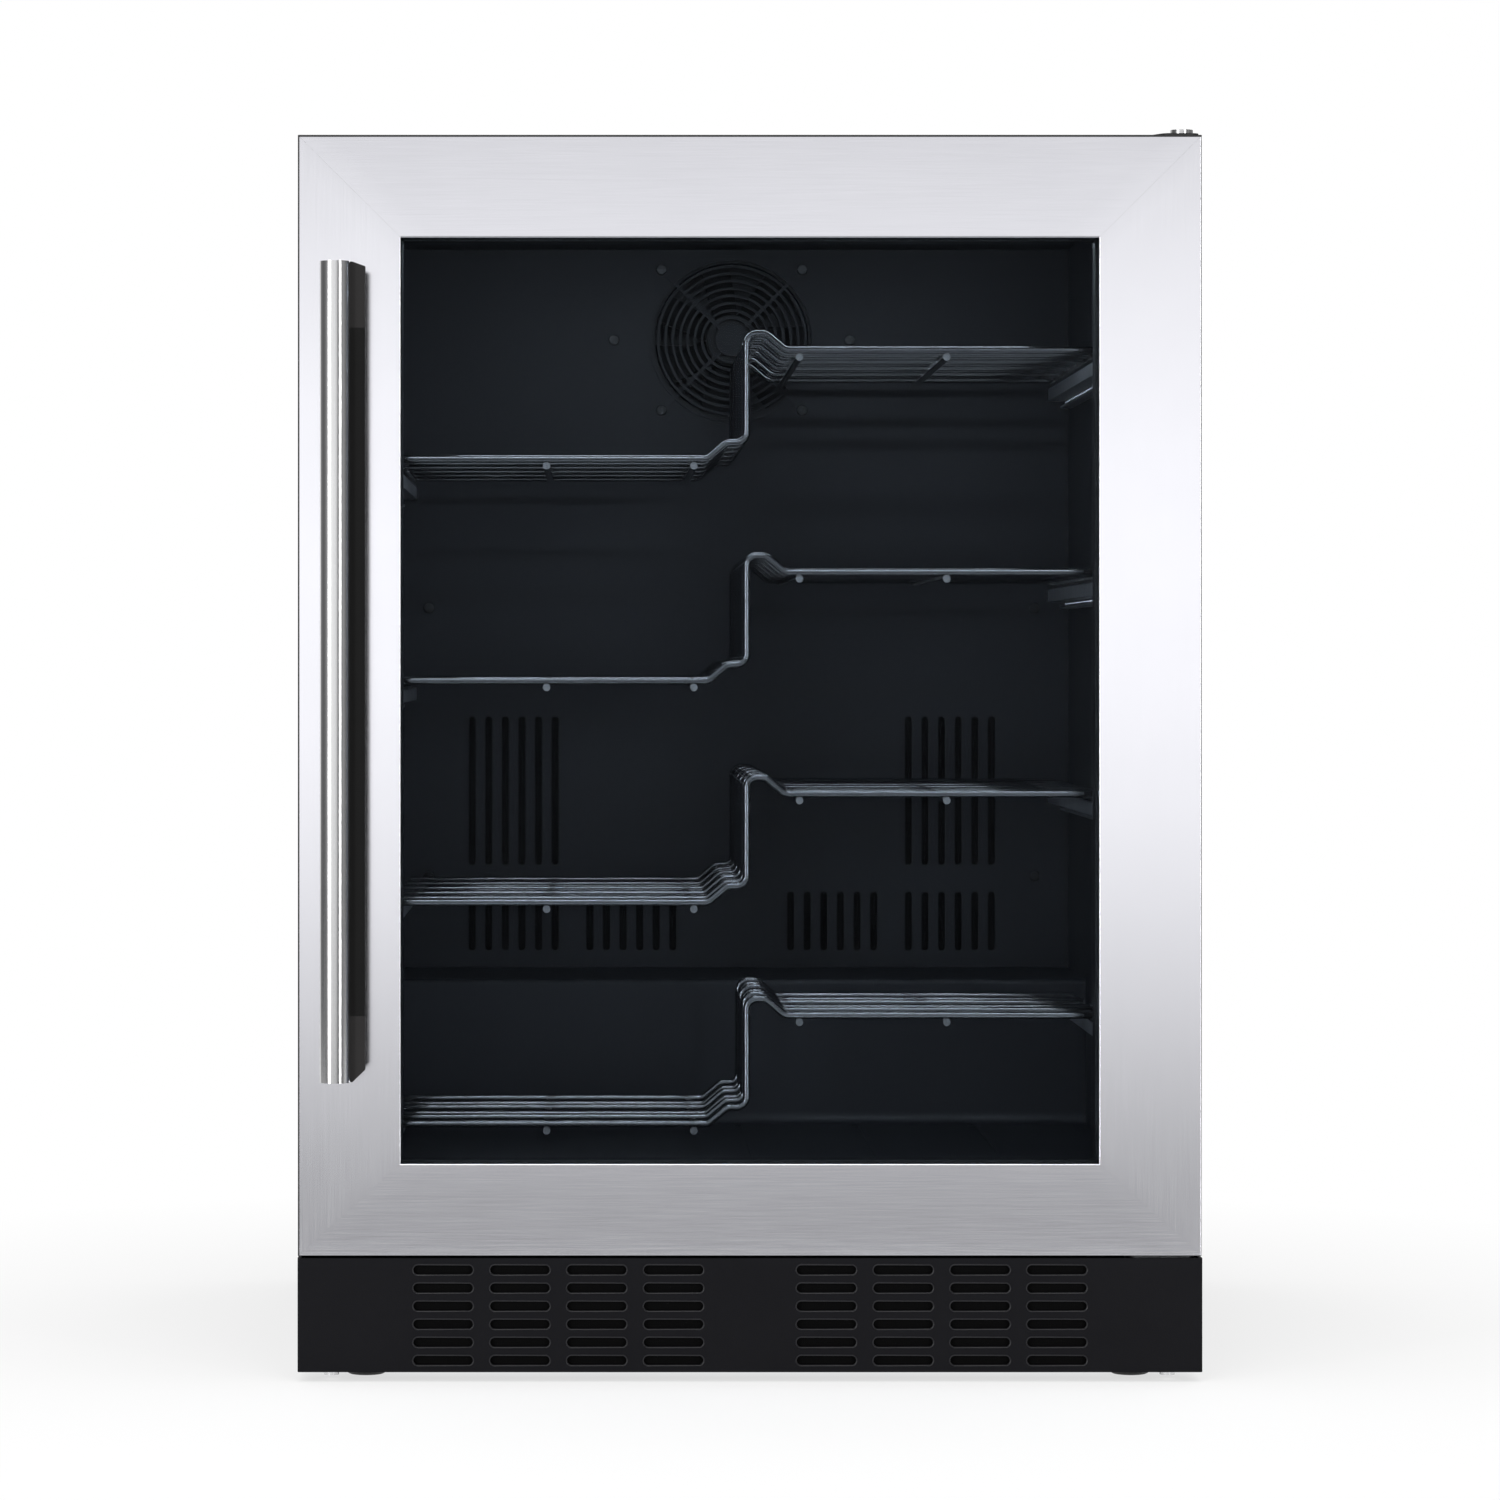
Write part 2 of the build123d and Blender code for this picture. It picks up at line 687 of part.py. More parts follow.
# Compressor on four rubber mounts
mount_points = [(compressor_x + i * (compressor_plate_x / 2 - compressor_mount_inset),
                 machine_mid_y + j * (compressor_plate_y / 2 - compressor_mount_inset))
                for i in (-1, 1) for j in (-1, 1)]
stubs = [(compressor_x - stub_shift, machine_mid_y), (compressor_x + stub_shift, machine_mid_y)]
with BuildPart() as compressor:
    uprights([(compressor_x, machine_mid_y)], compressor_radius, compressor_base + compressor_plate,
             compressor_crown)
    fillet(compressor.edges().filter_by(GeomType.CIRCLE), compressor_round)
    seam = compressor_base + compressor_plate + compressor_height / 2
    uprights([(compressor_x, machine_mid_y)], compressor_radius + compressor_seam, seam,
             seam + compressor_seam_height)
    with BuildSketch(Plane.XY.offset(compressor_base)):
        with Locations((compressor_x, machine_mid_y)):
            RectangleRounded(compressor_plate_x, compressor_plate_y, compressor_plate_corner)
        with Locations(mount_points):
            Circle(mount_stem + mount_clearance, mode=Mode.SUBTRACT)
    extrude(amount=compressor_plate)
    block((compressor_x - terminal_width / 2, machine_mid_y - compressor_radius - terminal_depth / 2,
           seam - terminal_height),
          (compressor_x + terminal_width / 2, machine_mid_y - compressor_radius + terminal_depth, seam))
    uprights(stubs, tube_radius, compressor_crown - compressor_round, compressor_crown + tube_radius)
write(compressor, "compressor")

with BuildPart() as compressor_mounts:
    uprights(mount_points, mount_radius, base_top, compressor_base)
    uprights(mount_points, mount_stem, compressor_base, compressor_base + compressor_plate)
    plate_top = compressor_base + compressor_plate
    uprights(mount_points, mount_cap, plate_top, plate_top + mount_cap_height)
write(compressor_mounts, "compressor_mounts")

# Copper lines: hot gas to the condenser, liquid up to the evaporator, cold gas back down
pipe_level = compressor_crown + tube_radius + pipe_rise
far_y = y_back - pipe_back
stub_top = compressor_crown + tube_radius
hot_x = condenser_right + tube_bend * 1.2
liquid_x, cold_x = pipe_holes_at
liquid_level = (hump_z + evaporator_bottom) / 2
with BuildPart() as refrigerant_lines:
    bent_tube([(*stubs[0], stub_top), (*stubs[0], pipe_level), (stubs[0][0], far_y, pipe_level),
               (hot_x, far_y, pipe_level), (hot_x, far_y, condenser_in[2]),
               (hot_x, condenser_in[1], condenser_in[2]), condenser_in], tube_radius, tube_bend)
    bent_tube([condenser_out, (liquid_x, condenser_out[1], condenser_out[2]),
               (liquid_x, pipe_y, condenser_out[2]), (liquid_x, pipe_y, liquid_level),
               (evaporator_in[0] + 2 * tube_bend, pipe_y, liquid_level),
               (evaporator_in[0] + 2 * tube_bend, pipe_y, evaporator_in[2]), evaporator_in],
              tube_radius, tube_bend)
    bent_tube([evaporator_out, (cold_x, pipe_y, evaporator_out[2]), (cold_x, pipe_y, pipe_level),
               (stubs[1][0], machine_mid_y, pipe_level), (*stubs[1], stub_top)], tube_radius, tube_bend)
write(refrigerant_lines, "refrigerant_lines")

# Controls and light under the ceiling
control_y = y_rim + control_setback
with BuildPart() as control_housing:
    block((-control_half, control_y, cavity_top - control_height),
          (control_half, control_y + control_depth, cavity_top))
    fillet(control_housing.edges().filter_by(Axis.Z), control_corner)
write(control_housing, "control_housing")

with BuildPart() as control_window:
    middle_y = control_y + control_depth / 2
    block((-window_half, middle_y - window_depth / 2, cavity_top - control_height - window_wall),
          (window_half, middle_y + window_depth / 2, cavity_top - control_height))
write(control_window, "control_window")

led_y = y_rim + led_setback
led_half = cavity_x - led_side
with BuildPart() as led_channel:
    block((-led_half, led_y, cavity_top - led_height), (led_half, led_y + led_depth, cavity_top))
write(led_channel, "led_channel")

with BuildPart() as led_lens:
    block((-led_half, led_y, cavity_top - led_height - led_lens_wall),
          (led_half, led_y + led_depth, cavity_top - led_height))
    fillet(led_lens.edges().filter_by(Axis.X).group_by(Axis.Z)[0], led_lens_wall * 0.8)
write(led_lens, "led_lens")

# Cord gland in the vent cover: a rubber bush with a dimpled face
with BuildPart() as cord_gland:
    gland_y = y_back - sheet
    bores([(gland_x, gland_z)], gland_radius + gland_rim, gland_y - gland_wall, gland_y, Mode.ADD)
    bores([(gland_x, gland_z)], gland_radius, gland_y, y_back, Mode.ADD)
    bores([(gland_x, gland_z)], gland_dimple, gland_y - sheet, y_back)
write(cord_gland, "cord_gland")

# Hinges: a plate on the cabinet top, an angle on the front rail, and a fixed pin in each
angle_right = half - plinth_wall - door_side_gap
with BuildPart() as top_hinge_plate:
    with BuildSketch(Plane.XY.offset(cabinet_top)):
        Polygon((half, y_rim + hinge_tail), (plate_left, y_rim + hinge_tail), (plate_left, y_rim),
                (hinge_x - hinge_nose, hinge_y - hinge_nose), (half, hinge_y - hinge_nose), align=None)
    extrude(amount=top_plate)
    fillet(top_hinge_plate.edges().filter_by(Axis.Z), hinge_corner)
    uprights([(hinge_x, hinge_y)], pin_radius, cabinet_top, cabinet_top + top_plate, Mode.SUBTRACT)
    uprights(top_bolts, bolt_radius + bolt_clearance, cabinet_top, cabinet_top + top_plate, Mode.SUBTRACT)
write(top_hinge_plate, "top_hinge_plate")

with BuildPart() as bottom_hinge_plate:
    block((plate_left, hinge_y - hinge_nose, plinth_top - hinge_plate), (angle_right, y_rim, plinth_top))
    fillet(bottom_hinge_plate.edges().filter_by(Axis.Z).group_by(Axis.Y)[0], hinge_corner)
    block((plate_left, y_rim - hinge_plate, leg_bottom), (angle_right, y_rim, plinth_top))
    uprights([(hinge_x, hinge_y)], pin_radius, plinth_top - hinge_plate, plinth_top, Mode.SUBTRACT)
    bores(leg_bolts, bolt_radius + bolt_clearance, y_rim - hinge_plate, y_rim)
write(bottom_hinge_plate, "bottom_hinge_plate")

with BuildPart() as hinge_pins:
    pin_at = [(hinge_x, hinge_y)]
    plate_top = cabinet_top + top_plate
    uprights(pin_at, pin_radius, door_top - bush_length + pin_head, plate_top)
    uprights(pin_at, pin_cap_radius, plate_top, plate_top + pin_cap)
    uprights(pin_at, pin_radius, plinth_top - hinge_plate, door_bottom + bush_length - pin_head)
    uprights(pin_at, pin_head_radius, plinth_top - hinge_plate - pin_head, plinth_top - hinge_plate)
write(hinge_pins, "hinge_pins")

with BuildPart() as hinge_bolts:
    uprights(top_bolts, bolt_head_radius, plate_top, plate_top + hinge_bolt_head)
    uprights(top_bolts, bolt_radius, cabinet_top - sheet, plate_top)
    bores(leg_bolts, bolt_head_radius, y_rim - hinge_plate - bolt_head, y_rim - hinge_plate, Mode.ADD)
    bores(leg_bolts, bolt_radius, y_rim - hinge_plate, y_rim + base_sheet, Mode.ADD)
write(hinge_bolts, "hinge_bolts")

# Door: four mitred steel channels over a plastic core that holds the double glazing
handle_x = door_left + handle_inset
post_x = handle_x + grip_shift / 2
handle_bottom = door_bottom + handle_foot
handle_top = door_top - handle_head
screw_heights = [handle_bottom + post_height / 2, handle_top - post_height / 2]
handle_screws_at = [(post_x, z) for z in screw_heights]
handle_screw_end = y_door + skin - handle_screw_length
glass_front = y_door + skin_lip
glass_back = glass_front + 2 * glass + glass_air
pane = grown(glass_opening, glass_lap - glass_play)
with BuildPart() as door_frame:
    ring(y_door, y_door + skin, door_box, glass_opening)
    ring(y_door, y_door + skin_return, door_box, grown(door_box, -skin))
    ring(y_door, y_door + skin_lip, grown(glass_opening, skin), glass_opening)
    fillet(door_frame.faces().sort_by(Axis.Y)[0].edges(), skin_edge)
    mitre(y_door, y_door + skin_return, door_box, glass_opening)
    bores(handle_screws_at, handle_screw_radius + bolt_clearance, y_door, y_door + skin)
write(door_frame, "door_frame")

with BuildPart() as door_core:
    ring(y_door + skin, y_door + skin_return, grown(door_box, -skin), grown(glass_opening, skin))
    ring(y_door + skin_return, y_door_back, door_box, grown(glass_opening, skin))
    ring(glass_back, y_door_back, grown(glass_opening, 2 * skin), glass_opening)
    with BuildSketch(facing(glass_front)):
        panel(grown(glass_opening, glass_lap))
    extrude(amount=glass_front - glass_back, mode=Mode.SUBTRACT)
    mitre(y_door + skin, y_door_back, door_box, glass_opening)
    uprights([(hinge_x, hinge_y)], bush_radius, door_bottom, door_bottom + bush_length, Mode.SUBTRACT)
    uprights([(hinge_x, hinge_y)], bush_radius, door_top - bush_length, door_top, Mode.SUBTRACT)
    bores(handle_screws_at, handle_screw_head + bolt_clearance, y_door + skin,
          y_door + skin + handle_screw_grip)
write(door_core, "door_core")

with BuildPart() as glass_panes:
    for y in (glass_front, glass_front + glass + glass_air):
        block((pane[0], y, pane[2]), (pane[1], y + glass, pane[3]))
write(glass_panes, "glass_panes")

with BuildPart() as glass_spacer:
    ring(glass_front + glass, glass_front + glass + glass_air, grown(pane, -spacer_inset),
         grown(pane, -spacer_inset - spacer_width))
write(glass_spacer, "glass_spacer")

gasket_out = (-half + gasket_inset, half - gasket_inset, floor_height - gasket_overlap_floor - gasket_width,
              cavity_top + gasket_overlap_top + gasket_width)
gasket_in = grown(gasket_out, -gasket_width)
with BuildPart() as door_gasket:
    ring(y_door_back, y_rim - gasket_gap, gasket_out, gasket_in)
    mitre(y_door_back, y_rim - gasket_gap, gasket_out, gasket_in)
write(door_gasket, "door_gasket")

with BuildPart() as hinge_bushes:
    for z in (door_bottom, door_top - bush_length):
        uprights([(hinge_x, hinge_y)], bush_radius, z, z + bush_length)
        uprights([(hinge_x, hinge_y)], pin_radius + pin_clearance, z, z + bush_length, Mode.SUBTRACT)
write(hinge_bushes, "hinge_bushes")

# Handle: a steel bar on a dark grip rail with a post at each end
y_handle = y_door - handle_reach
with BuildPart() as handle_bar:
    block((handle_x - bar_width / 2, y_handle, handle_bottom),
          (handle_x + bar_width / 2, y_handle + bar_depth, handle_top))
    fillet(handle_bar.edges().filter_by(Axis.Z).group_by(Axis.Y)[0], bar_round)
write(handle_bar, "handle_bar")

grip_y = y_handle + bar_depth
grip_left = handle_x + grip_shift - grip_width / 2
grip_right = handle_x + grip_shift + grip_width / 2
post_right = post_x + post_width / 2
with BuildPart() as handle_grip:
    with BuildSketch(facing(grip_y)):
        Polygon((grip_left, handle_bottom), (post_right, handle_bottom),
                (grip_right, handle_bottom + grip_slope_foot), (grip_right, handle_top - grip_slope_head),
                (post_right, handle_top), (grip_left, handle_top), align=None)
    extrude(amount=-grip_depth)
    for z in (handle_bottom, handle_top - post_height):
        block((post_x - post_width / 2, grip_y + grip_depth, z),
              (post_right, y_door, z + post_height))
    bores(handle_screws_at, handle_screw_radius + bolt_clearance, handle_screw_end, y_door)
write(handle_grip, "handle_grip")

with BuildPart() as handle_screws:
    bores(handle_screws_at, handle_screw_radius, handle_screw_end, y_door + skin, Mode.ADD)
    bores(handle_screws_at, handle_screw_head, y_door + skin, y_door + skin + bolt_head, Mode.ADD)
write(handle_screws, "handle_screws")


# Racks and their slides
y_rack = y_door_back + rack_inset
rod_x = cavity_x - rod_inset
tray_x = cavity_x - tray_end
rack_top = cavity_top - rack_drop
rack_pitch = (rack_top - floor_height - rack_floor) / (rack_count - 1)


def wire_depths(bottles):
    """The depth of each wire: two per bottle, one before and one behind its middle."""
    first = y_rack + wire_radius + cradle_half
    return [first + i * bottle_pitch + side * cradle_half for i in range(bottles) for side in (-1, 1)]


def make_rack(number, right_z, bottles):
    """One rack: a welded wire tray on each side, bent neck wires between them, and its runners."""
    depths = wire_depths(bottles)
    front = depths[0] - wire_radius
    back = depths[-1] + rod_overhang
    left_z = right_z - rack_step
    with BuildPart() as trays:
        for side, z in ((1, right_z), (-1, left_z)):
            with BuildSketch(Plane.YZ.offset(side * tray_inner)):
                with Locations([(y, z) for y in depths]):
                    Circle(wire_radius)
            extrude(amount=side * (tray_x - tray_inner))
            rod_z = z - 2 * wire_radius + weld_sink
            spots = [tray_inner + wire_radius, (tray_inner + rod_x) / 2, rod_x]
            bores([(side * x, rod_z) for x in spots], wire_radius, front, back, Mode.ADD)
    write(trays, f"rack_{number}_trays")

    with BuildPart() as necks:
        knee = tray_inner - neck_straight
        for y in depths:
            bent_tube([(tray_inner, y, right_z), (knee, y, right_z),
                       (knee - neck_run, y, right_z + neck_rise), (0, y, right_z + neck_rise),
                       (0, y, left_z + neck_rise), (neck_run - knee, y, left_z + neck_rise),
                       (-knee, y, left_z), (-tray_inner, y, left_z)], wire_radius, neck_bend)
    write(necks, f"rack_{number}_necks")

    with BuildPart() as runners:
        for side, z in ((1, right_z), (-1, left_z)):
            top = z - slide_drop - slide_height / 2 + tongue / 2
            outer = cavity_x - slide_wall - tongue_gap
            inner = rod_x - runner_web / 2
            start = front + runner_setback
            block((min(side * inner, side * outer), start, top - tongue),
                  (max(side * inner, side * outer), back, top))
            block((side * rod_x - runner_web / 2, start, top),
                  (side * rod_x + runner_web / 2, back, z - 3 * wire_radius + weld_sink))
    write(runners, f"rack_{number}_runners")
    return [(side, z, start, back) for side, z in ((1, right_z), (-1, left_z))]


slides = []
for number in range(1, rack_count + 1):
    behind = hump_y if number == rack_count else duct_y
    deep = int((behind - rack_back_gap - y_rack) / bottle_pitch)
    slides += make_rack(number, rack_top - (number - 1) * rack_pitch, deep)

with BuildPart() as slide_channels:
    for side, z, front, back in slides:
        wall, mouth = side * cavity_x, side * (cavity_x - slide_reach)
        web = side * (cavity_x - slide_wall)
        top = z - slide_drop
        low = top - slide_height
        block((min(wall, web), front, low), (max(wall, web), back, top))
        block((min(wall, mouth), front, low), (max(wall, mouth), back, low + slide_wall))
        block((min(wall, mouth), front, top - slide_wall), (max(wall, mouth), back, top))
write(slide_channels, "slide_channels")
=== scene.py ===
from math import atan2, hypot, pi

import bmesh
import bpy
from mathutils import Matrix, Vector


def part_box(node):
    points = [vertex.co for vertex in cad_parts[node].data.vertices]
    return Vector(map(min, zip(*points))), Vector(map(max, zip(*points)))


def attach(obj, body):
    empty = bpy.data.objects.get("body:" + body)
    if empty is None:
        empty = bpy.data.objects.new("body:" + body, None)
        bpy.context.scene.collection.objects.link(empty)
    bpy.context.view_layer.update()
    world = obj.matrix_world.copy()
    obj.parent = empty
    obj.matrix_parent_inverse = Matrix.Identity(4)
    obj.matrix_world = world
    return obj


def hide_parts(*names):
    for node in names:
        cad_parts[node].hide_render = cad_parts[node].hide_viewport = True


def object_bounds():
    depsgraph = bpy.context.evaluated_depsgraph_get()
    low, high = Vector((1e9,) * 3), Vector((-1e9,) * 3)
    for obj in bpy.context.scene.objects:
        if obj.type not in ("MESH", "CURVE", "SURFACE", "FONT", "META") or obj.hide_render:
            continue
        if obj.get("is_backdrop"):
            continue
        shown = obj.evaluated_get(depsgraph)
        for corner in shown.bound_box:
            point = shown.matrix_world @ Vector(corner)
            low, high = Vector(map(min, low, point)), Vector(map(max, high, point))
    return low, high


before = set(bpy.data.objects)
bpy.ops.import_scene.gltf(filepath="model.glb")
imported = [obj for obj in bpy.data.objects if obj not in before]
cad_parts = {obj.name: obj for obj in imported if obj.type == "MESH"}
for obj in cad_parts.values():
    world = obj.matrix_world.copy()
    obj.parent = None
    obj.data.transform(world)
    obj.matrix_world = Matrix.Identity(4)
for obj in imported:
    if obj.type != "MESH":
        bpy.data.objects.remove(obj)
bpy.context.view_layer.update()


# Cabinet shell: folded sheet-steel sides, top and back under a black powder coat.
# The coat has the fine orange peel of baked powder, and the panels hook over the foamed body.
class Wire:
    """A socket in a material's nodes. Sums of wires add Math nodes, and node() adds any other kind."""

    def __init__(self, tree, socket):
        self.tree = tree
        self.socket = socket

    def node(self, kind, sockets, output=0, stops=(), **settings):
        made = self.tree.nodes.new("ShaderNode" + kind)
        for name, value in settings.items():
            setattr(made, name, value)
        for i, (position, colour) in enumerate(stops):
            ramp = made.color_ramp.elements
            stop = ramp[i] if i < len(ramp) else ramp.new(position)
            stop.position = position
            stop.color = (*colour, 1)
        for name, value in sockets.items():
            if isinstance(value, Wire):
                self.tree.links.new(value.socket, made.inputs[name])
            else:
                made.inputs[name].default_value = value
        return Wire(self.tree, made.outputs[output])

    def maths(self, operation, first, second=0.0):
        return self.node("Math", {0: first, 1: second}, operation=operation)

    def __add__(self, other):
        return self.maths("ADD", self, other)

    def __sub__(self, other):
        return self.maths("SUBTRACT", self, other)

    def __rsub__(self, other):
        return self.maths("SUBTRACT", other, self)

    def __mul__(self, other):
        return self.maths("MULTIPLY", self, other)

    def __truediv__(self, other):
        return self.maths("DIVIDE", self, other)

    def __pow__(self, other):
        return self.maths("POWER", self, other)

    def __lt__(self, other):
        return self.maths("LESS_THAN", self, other)

    def __abs__(self):
        return self.maths("ABSOLUTE", self)

    __radd__ = __add__
    __rmul__ = __mul__


def tint(share, none, full):
    """A colour between two, by share from 0 to 1."""
    return share.node("Mix", {0: share, 6: (*none, 1), 7: (*full, 1)}, 2, data_type="RGBA")


def speckle(place, size, stretch=(1, 1, 1)):
    """Soft random specks about size metres across, drawn out by stretch along each axis."""
    scaled = place.node("Mapping", {"Vector": place, "Scale": [1 / (size * s) for s in stretch]})
    return place.node("TexNoise", {"Vector": scaled, "Scale": 1.0, "Detail": 2.0})


def relief(height, depth):
    """A surface normal from a height of 0 to 1, depth metres deep."""
    return height.node("Bump", {"Height": height, "Distance": depth, "Strength": 1.0})


def make_finish(name, look, constants):
    """A material: look(place) wires what varies over the surface, and constants sit on its shader."""
    material = bpy.data.materials.new(name)
    material.use_nodes = True
    tree = material.node_tree
    surface = tree.nodes["Principled BSDF"]
    for socket, value in constants.items():
        surface.inputs[socket].default_value = value
    place = Wire(tree, tree.nodes.new("ShaderNodeTexCoord").outputs["Object"])
    for socket, wire in look(place).items():
        tree.links.new(wire.socket, surface.inputs[socket])
    return material


def dress(material, *nodes):
    """Give CAD nodes a finish."""
    for node in nodes:
        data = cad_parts[node].data
        data.materials.clear()
        data.materials.append(material)


def powder_coat(place):
    peel = speckle(place, 0.0011)
    wear = speckle(place, 0.09)
    return {"Base Color": tint(wear, (0.010, 0.010, 0.011), (0.016, 0.016, 0.018)),
            "Roughness": 0.34 + 0.12 * peel + 0.08 * wear,
            "Normal": relief(peel, 0.00003)}


cabinet_paint = make_finish("cabinet_paint", powder_coat, {"Specular IOR Level": 0.4})
dress(cabinet_paint, "side_panels", "top_panel", "rear_panel", "rear_vent_cover", "front_rail",
      "top_hinge_plate")


# Base pan and the nuts for the feet: pressed steel with a spangled zinc coat.
# They are spot-welded into one tray that carries the cooling machine and the plinth.
def zinc_coat(place):
    spangle = place.node("TexVoronoi", {"Vector": place, "Scale": 130.0}, "Color")
    flake = place.node("SeparateColor", {0: spangle}, 0)
    dust = speckle(place, 0.004)
    return {"Base Color": tint(flake, (0.40, 0.41, 0.43), (0.58, 0.59, 0.61)),
            "Roughness": 0.30 + 0.16 * flake + 0.10 * dust,
            "Normal": relief(dust, 0.00002)}


zinc_steel = make_finish("zinc_steel", zinc_coat, {"Metallic": 1.0})
dress(zinc_steel, "base_pan", "foot_sockets")


# Levelling feet: black moulded pads with a ribbed rim to turn by hand, on a threaded stud.
# Each screws up into a nut on the base pan.
def fit(name, shape, material, body, slot, *nodes):
    """Make a bmesh a piece of the object: its finish, its body and the nodes it stands for; the slot
    argument is not used.
    """
    mesh = bpy.data.meshes.new(name)
    shape.to_mesh(mesh)
    shape.free()
    mesh.shade_smooth()
    mesh.set_sharp_from_angle(angle=pi / 5)
    mesh.materials.append(material)
    piece = bpy.data.objects.new(name, mesh)
    bpy.context.scene.collection.objects.link(piece)
    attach(piece, body)
    if nodes:
        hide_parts(*nodes)


def turned(profile, centre, steps):
    """A closed turned shape about an upright axis, from (radius, height) points that end on the axis."""
    shape = bmesh.new()
    points = [shape.verts.new((centre.x + radius, centre.y, height)) for radius, height in profile]
    edges = [shape.edges.new(pair) for pair in zip(points, points[1:])]
    bmesh.ops.spin(shape, geom=points + edges, cent=(centre.x, centre.y, 0), axis=(0, 0, 1), dvec=(0, 0, 0),
                   angle=2 * pi, steps=steps, use_merge=True)
    bmesh.ops.remove_doubles(shape, verts=shape.verts, dist=1e-6)
    bmesh.ops.recalc_face_normals(shape, faces=shape.faces)
    return shape


def moulded_black(place):
    grain = speckle(place, 0.0007)
    scuff = speckle(place, 0.012)
    return {"Base Color": tint(scuff, (0.010, 0.010, 0.010), (0.020, 0.020, 0.021)),
            "Roughness": 0.42 + 0.16 * grain + 0.10 * scuff,
            "Normal": relief(grain, 0.00003)}


black_plastic = make_finish("black_plastic", moulded_black, {"Specular IOR Level": 0.4})
pad_radius, pad_steps, rib_margin, rib_height = 0.0133, 48, 0.0003, 0.0006
thread_pitch, thread_root, thread_crest, thread_start = 0.0015, 0.0044, 0.0050, 0.0088
for corner in ("front_left", "front_right", "rear_left", "rear_right"):
    low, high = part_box("foot_" + corner)
    centre = (low + high) / 2
    profile = [(0, 0), (0.0112, 0), (0.0124, 0.0006), (pad_radius, 0.0018), (pad_radius, 0.0064),
               (0.0122, 0.0076), (0.0062, 0.0080), (thread_crest, 0.0086)]
    for turn in range(int((high.z - 0.0100) / thread_pitch)):
        profile += [(thread_root, thread_start + turn * thread_pitch),
                    (thread_crest, thread_start + (turn + 0.5) * thread_pitch)]
    profile += [(0.0036, high.z), (0, high.z)]
    foot = turned(profile, centre, pad_steps)
    ribs = []
    for face in foot.faces:
        away = face.calc_center_median() - centre
        if hypot(away.x, away.y) > pad_radius - 0.0002 and abs(face.normal.z) < 0.2:
            if round((atan2(away.y, away.x) / (2 * pi) * pad_steps) - 0.5) % 2 == 0:
                ribs.append(face)
    bmesh.ops.inset_individual(foot, faces=ribs, thickness=rib_margin, depth=rib_height)
    fit("levelling_foot_" + corner, foot, black_plastic, "foot_" + corner + "_leg", "black_plastic",
        "foot_" + corner)


# Plinth: a black steel grille under the door, with two groups of stamped slots and plain ends.
# Each slot's edge is drawn up in a low collar, and the paint has a coarse hammered grain.
def textured_paint(place):
    grain = speckle(place, 0.0009)
    cloud = speckle(place, 0.05)
    return {"Base Color": tint(cloud, (0.0036, 0.0036, 0.0050), (0.0056, 0.0056, 0.0072)),
            "Roughness": 0.40 + 0.22 * grain,
            "Normal": relief(grain, 0.00007)}


# Painted highlight: the collar paint is lighter than the plinth's, so the slot rims read as catching the
# light; its speckle varies that tone at random.
def collar_paint_painted_highlight(place):
    wear = speckle(place, 0.003)
    return {"Base Color": tint(wear, (0.007, 0.007, 0.009), (0.014, 0.014, 0.017)),
            "Roughness": 0.30 + 0.16 * wear,
            "Normal": relief(wear, 0.00003)}


def repeated(shape, places):
    """Put a copy of a shape at each place, and drop the first."""
    first = shape.verts[:] + shape.edges[:] + shape.faces[:]
    points = shape.verts[:]
    for place in places:
        copy = bmesh.ops.duplicate(shape, geom=first)["geom"]
        bmesh.ops.translate(shape, vec=place, verts=[g for g in copy if isinstance(g, bmesh.types.BMVert)])
    bmesh.ops.delete(shape, geom=points, context="VERTS")


plinth_paint = make_finish("plinth_paint", textured_paint, {"Specular IOR Level": 0.09})
dress(plinth_paint, "plinth_grille", "plinth_ends")
slot_length, slot_height = 0.039, 0.006
columns, rows, column_pitch, row_pitch, group_centre = 4, 6, 0.0505, 0.0119, 0.126
low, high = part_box("plinth_grille")
collars = bmesh.new()
loops = []
for grow, rise in ((0, 0.0008), (0.0002, -0.0003), (0.0006, -0.0005), (0.0011, 0.0001)):
    loop = bmesh.ops.create_circle(collars, segments=20, radius=slot_height / 2 + grow)["verts"]
    for vert in loop:
        across = (slot_length - slot_height) / 2 * (1 if vert.co.x > 0 else -1)
        vert.co = (vert.co.x + across, low.y + rise, vert.co.y + (low.z + high.z) / 2)
    loops.append([edge for edge in collars.edges if edge.verts[0] in loop and edge.verts[1] in loop])
for inner, outer in zip(loops, loops[1:]):
    bmesh.ops.bridge_loops(collars, edges=inner + outer)
bmesh.ops.recalc_face_normals(collars, faces=collars.faces)
repeated(collars, [(side * group_centre + (column - (columns - 1) / 2) * column_pitch, 0,
                    (row - (rows - 1) / 2) * row_pitch)
                   for side in (-1, 1) for column in range(columns) for row in range(rows)])
collar_paint = make_finish("collar_paint_painted_highlight", collar_paint_painted_highlight, {"Specular IOR Level": 0.4})
fit("plinth_slot_collars", collars, collar_paint, "cabinet", "plinth_paint")


# Dust filter: a sheet of woven mesh clipped behind the plinth's slots, painted near black as painted shade
# so the slots read dark.
# Air for the cooling machine is drawn in through it.
def woven_mesh(place):
    across = place.node("TexWave", {"Vector": place, "Scale": 260.0}, "Fac", bands_direction="X")
    up = place.node("TexWave", {"Vector": place, "Scale": 260.0}, "Fac", bands_direction="Z")
    weave = across * up
    # Painted shade: the mesh is near black so that the slots behind it read as shade.
    return {"Base Color": tint(weave, (0.0010, 0.0010, 0.0010), (0.0030, 0.0030, 0.0035)),
            "Roughness": 0.60 + 0.20 * weave,
            "Normal": relief(weave, 0.0001)}


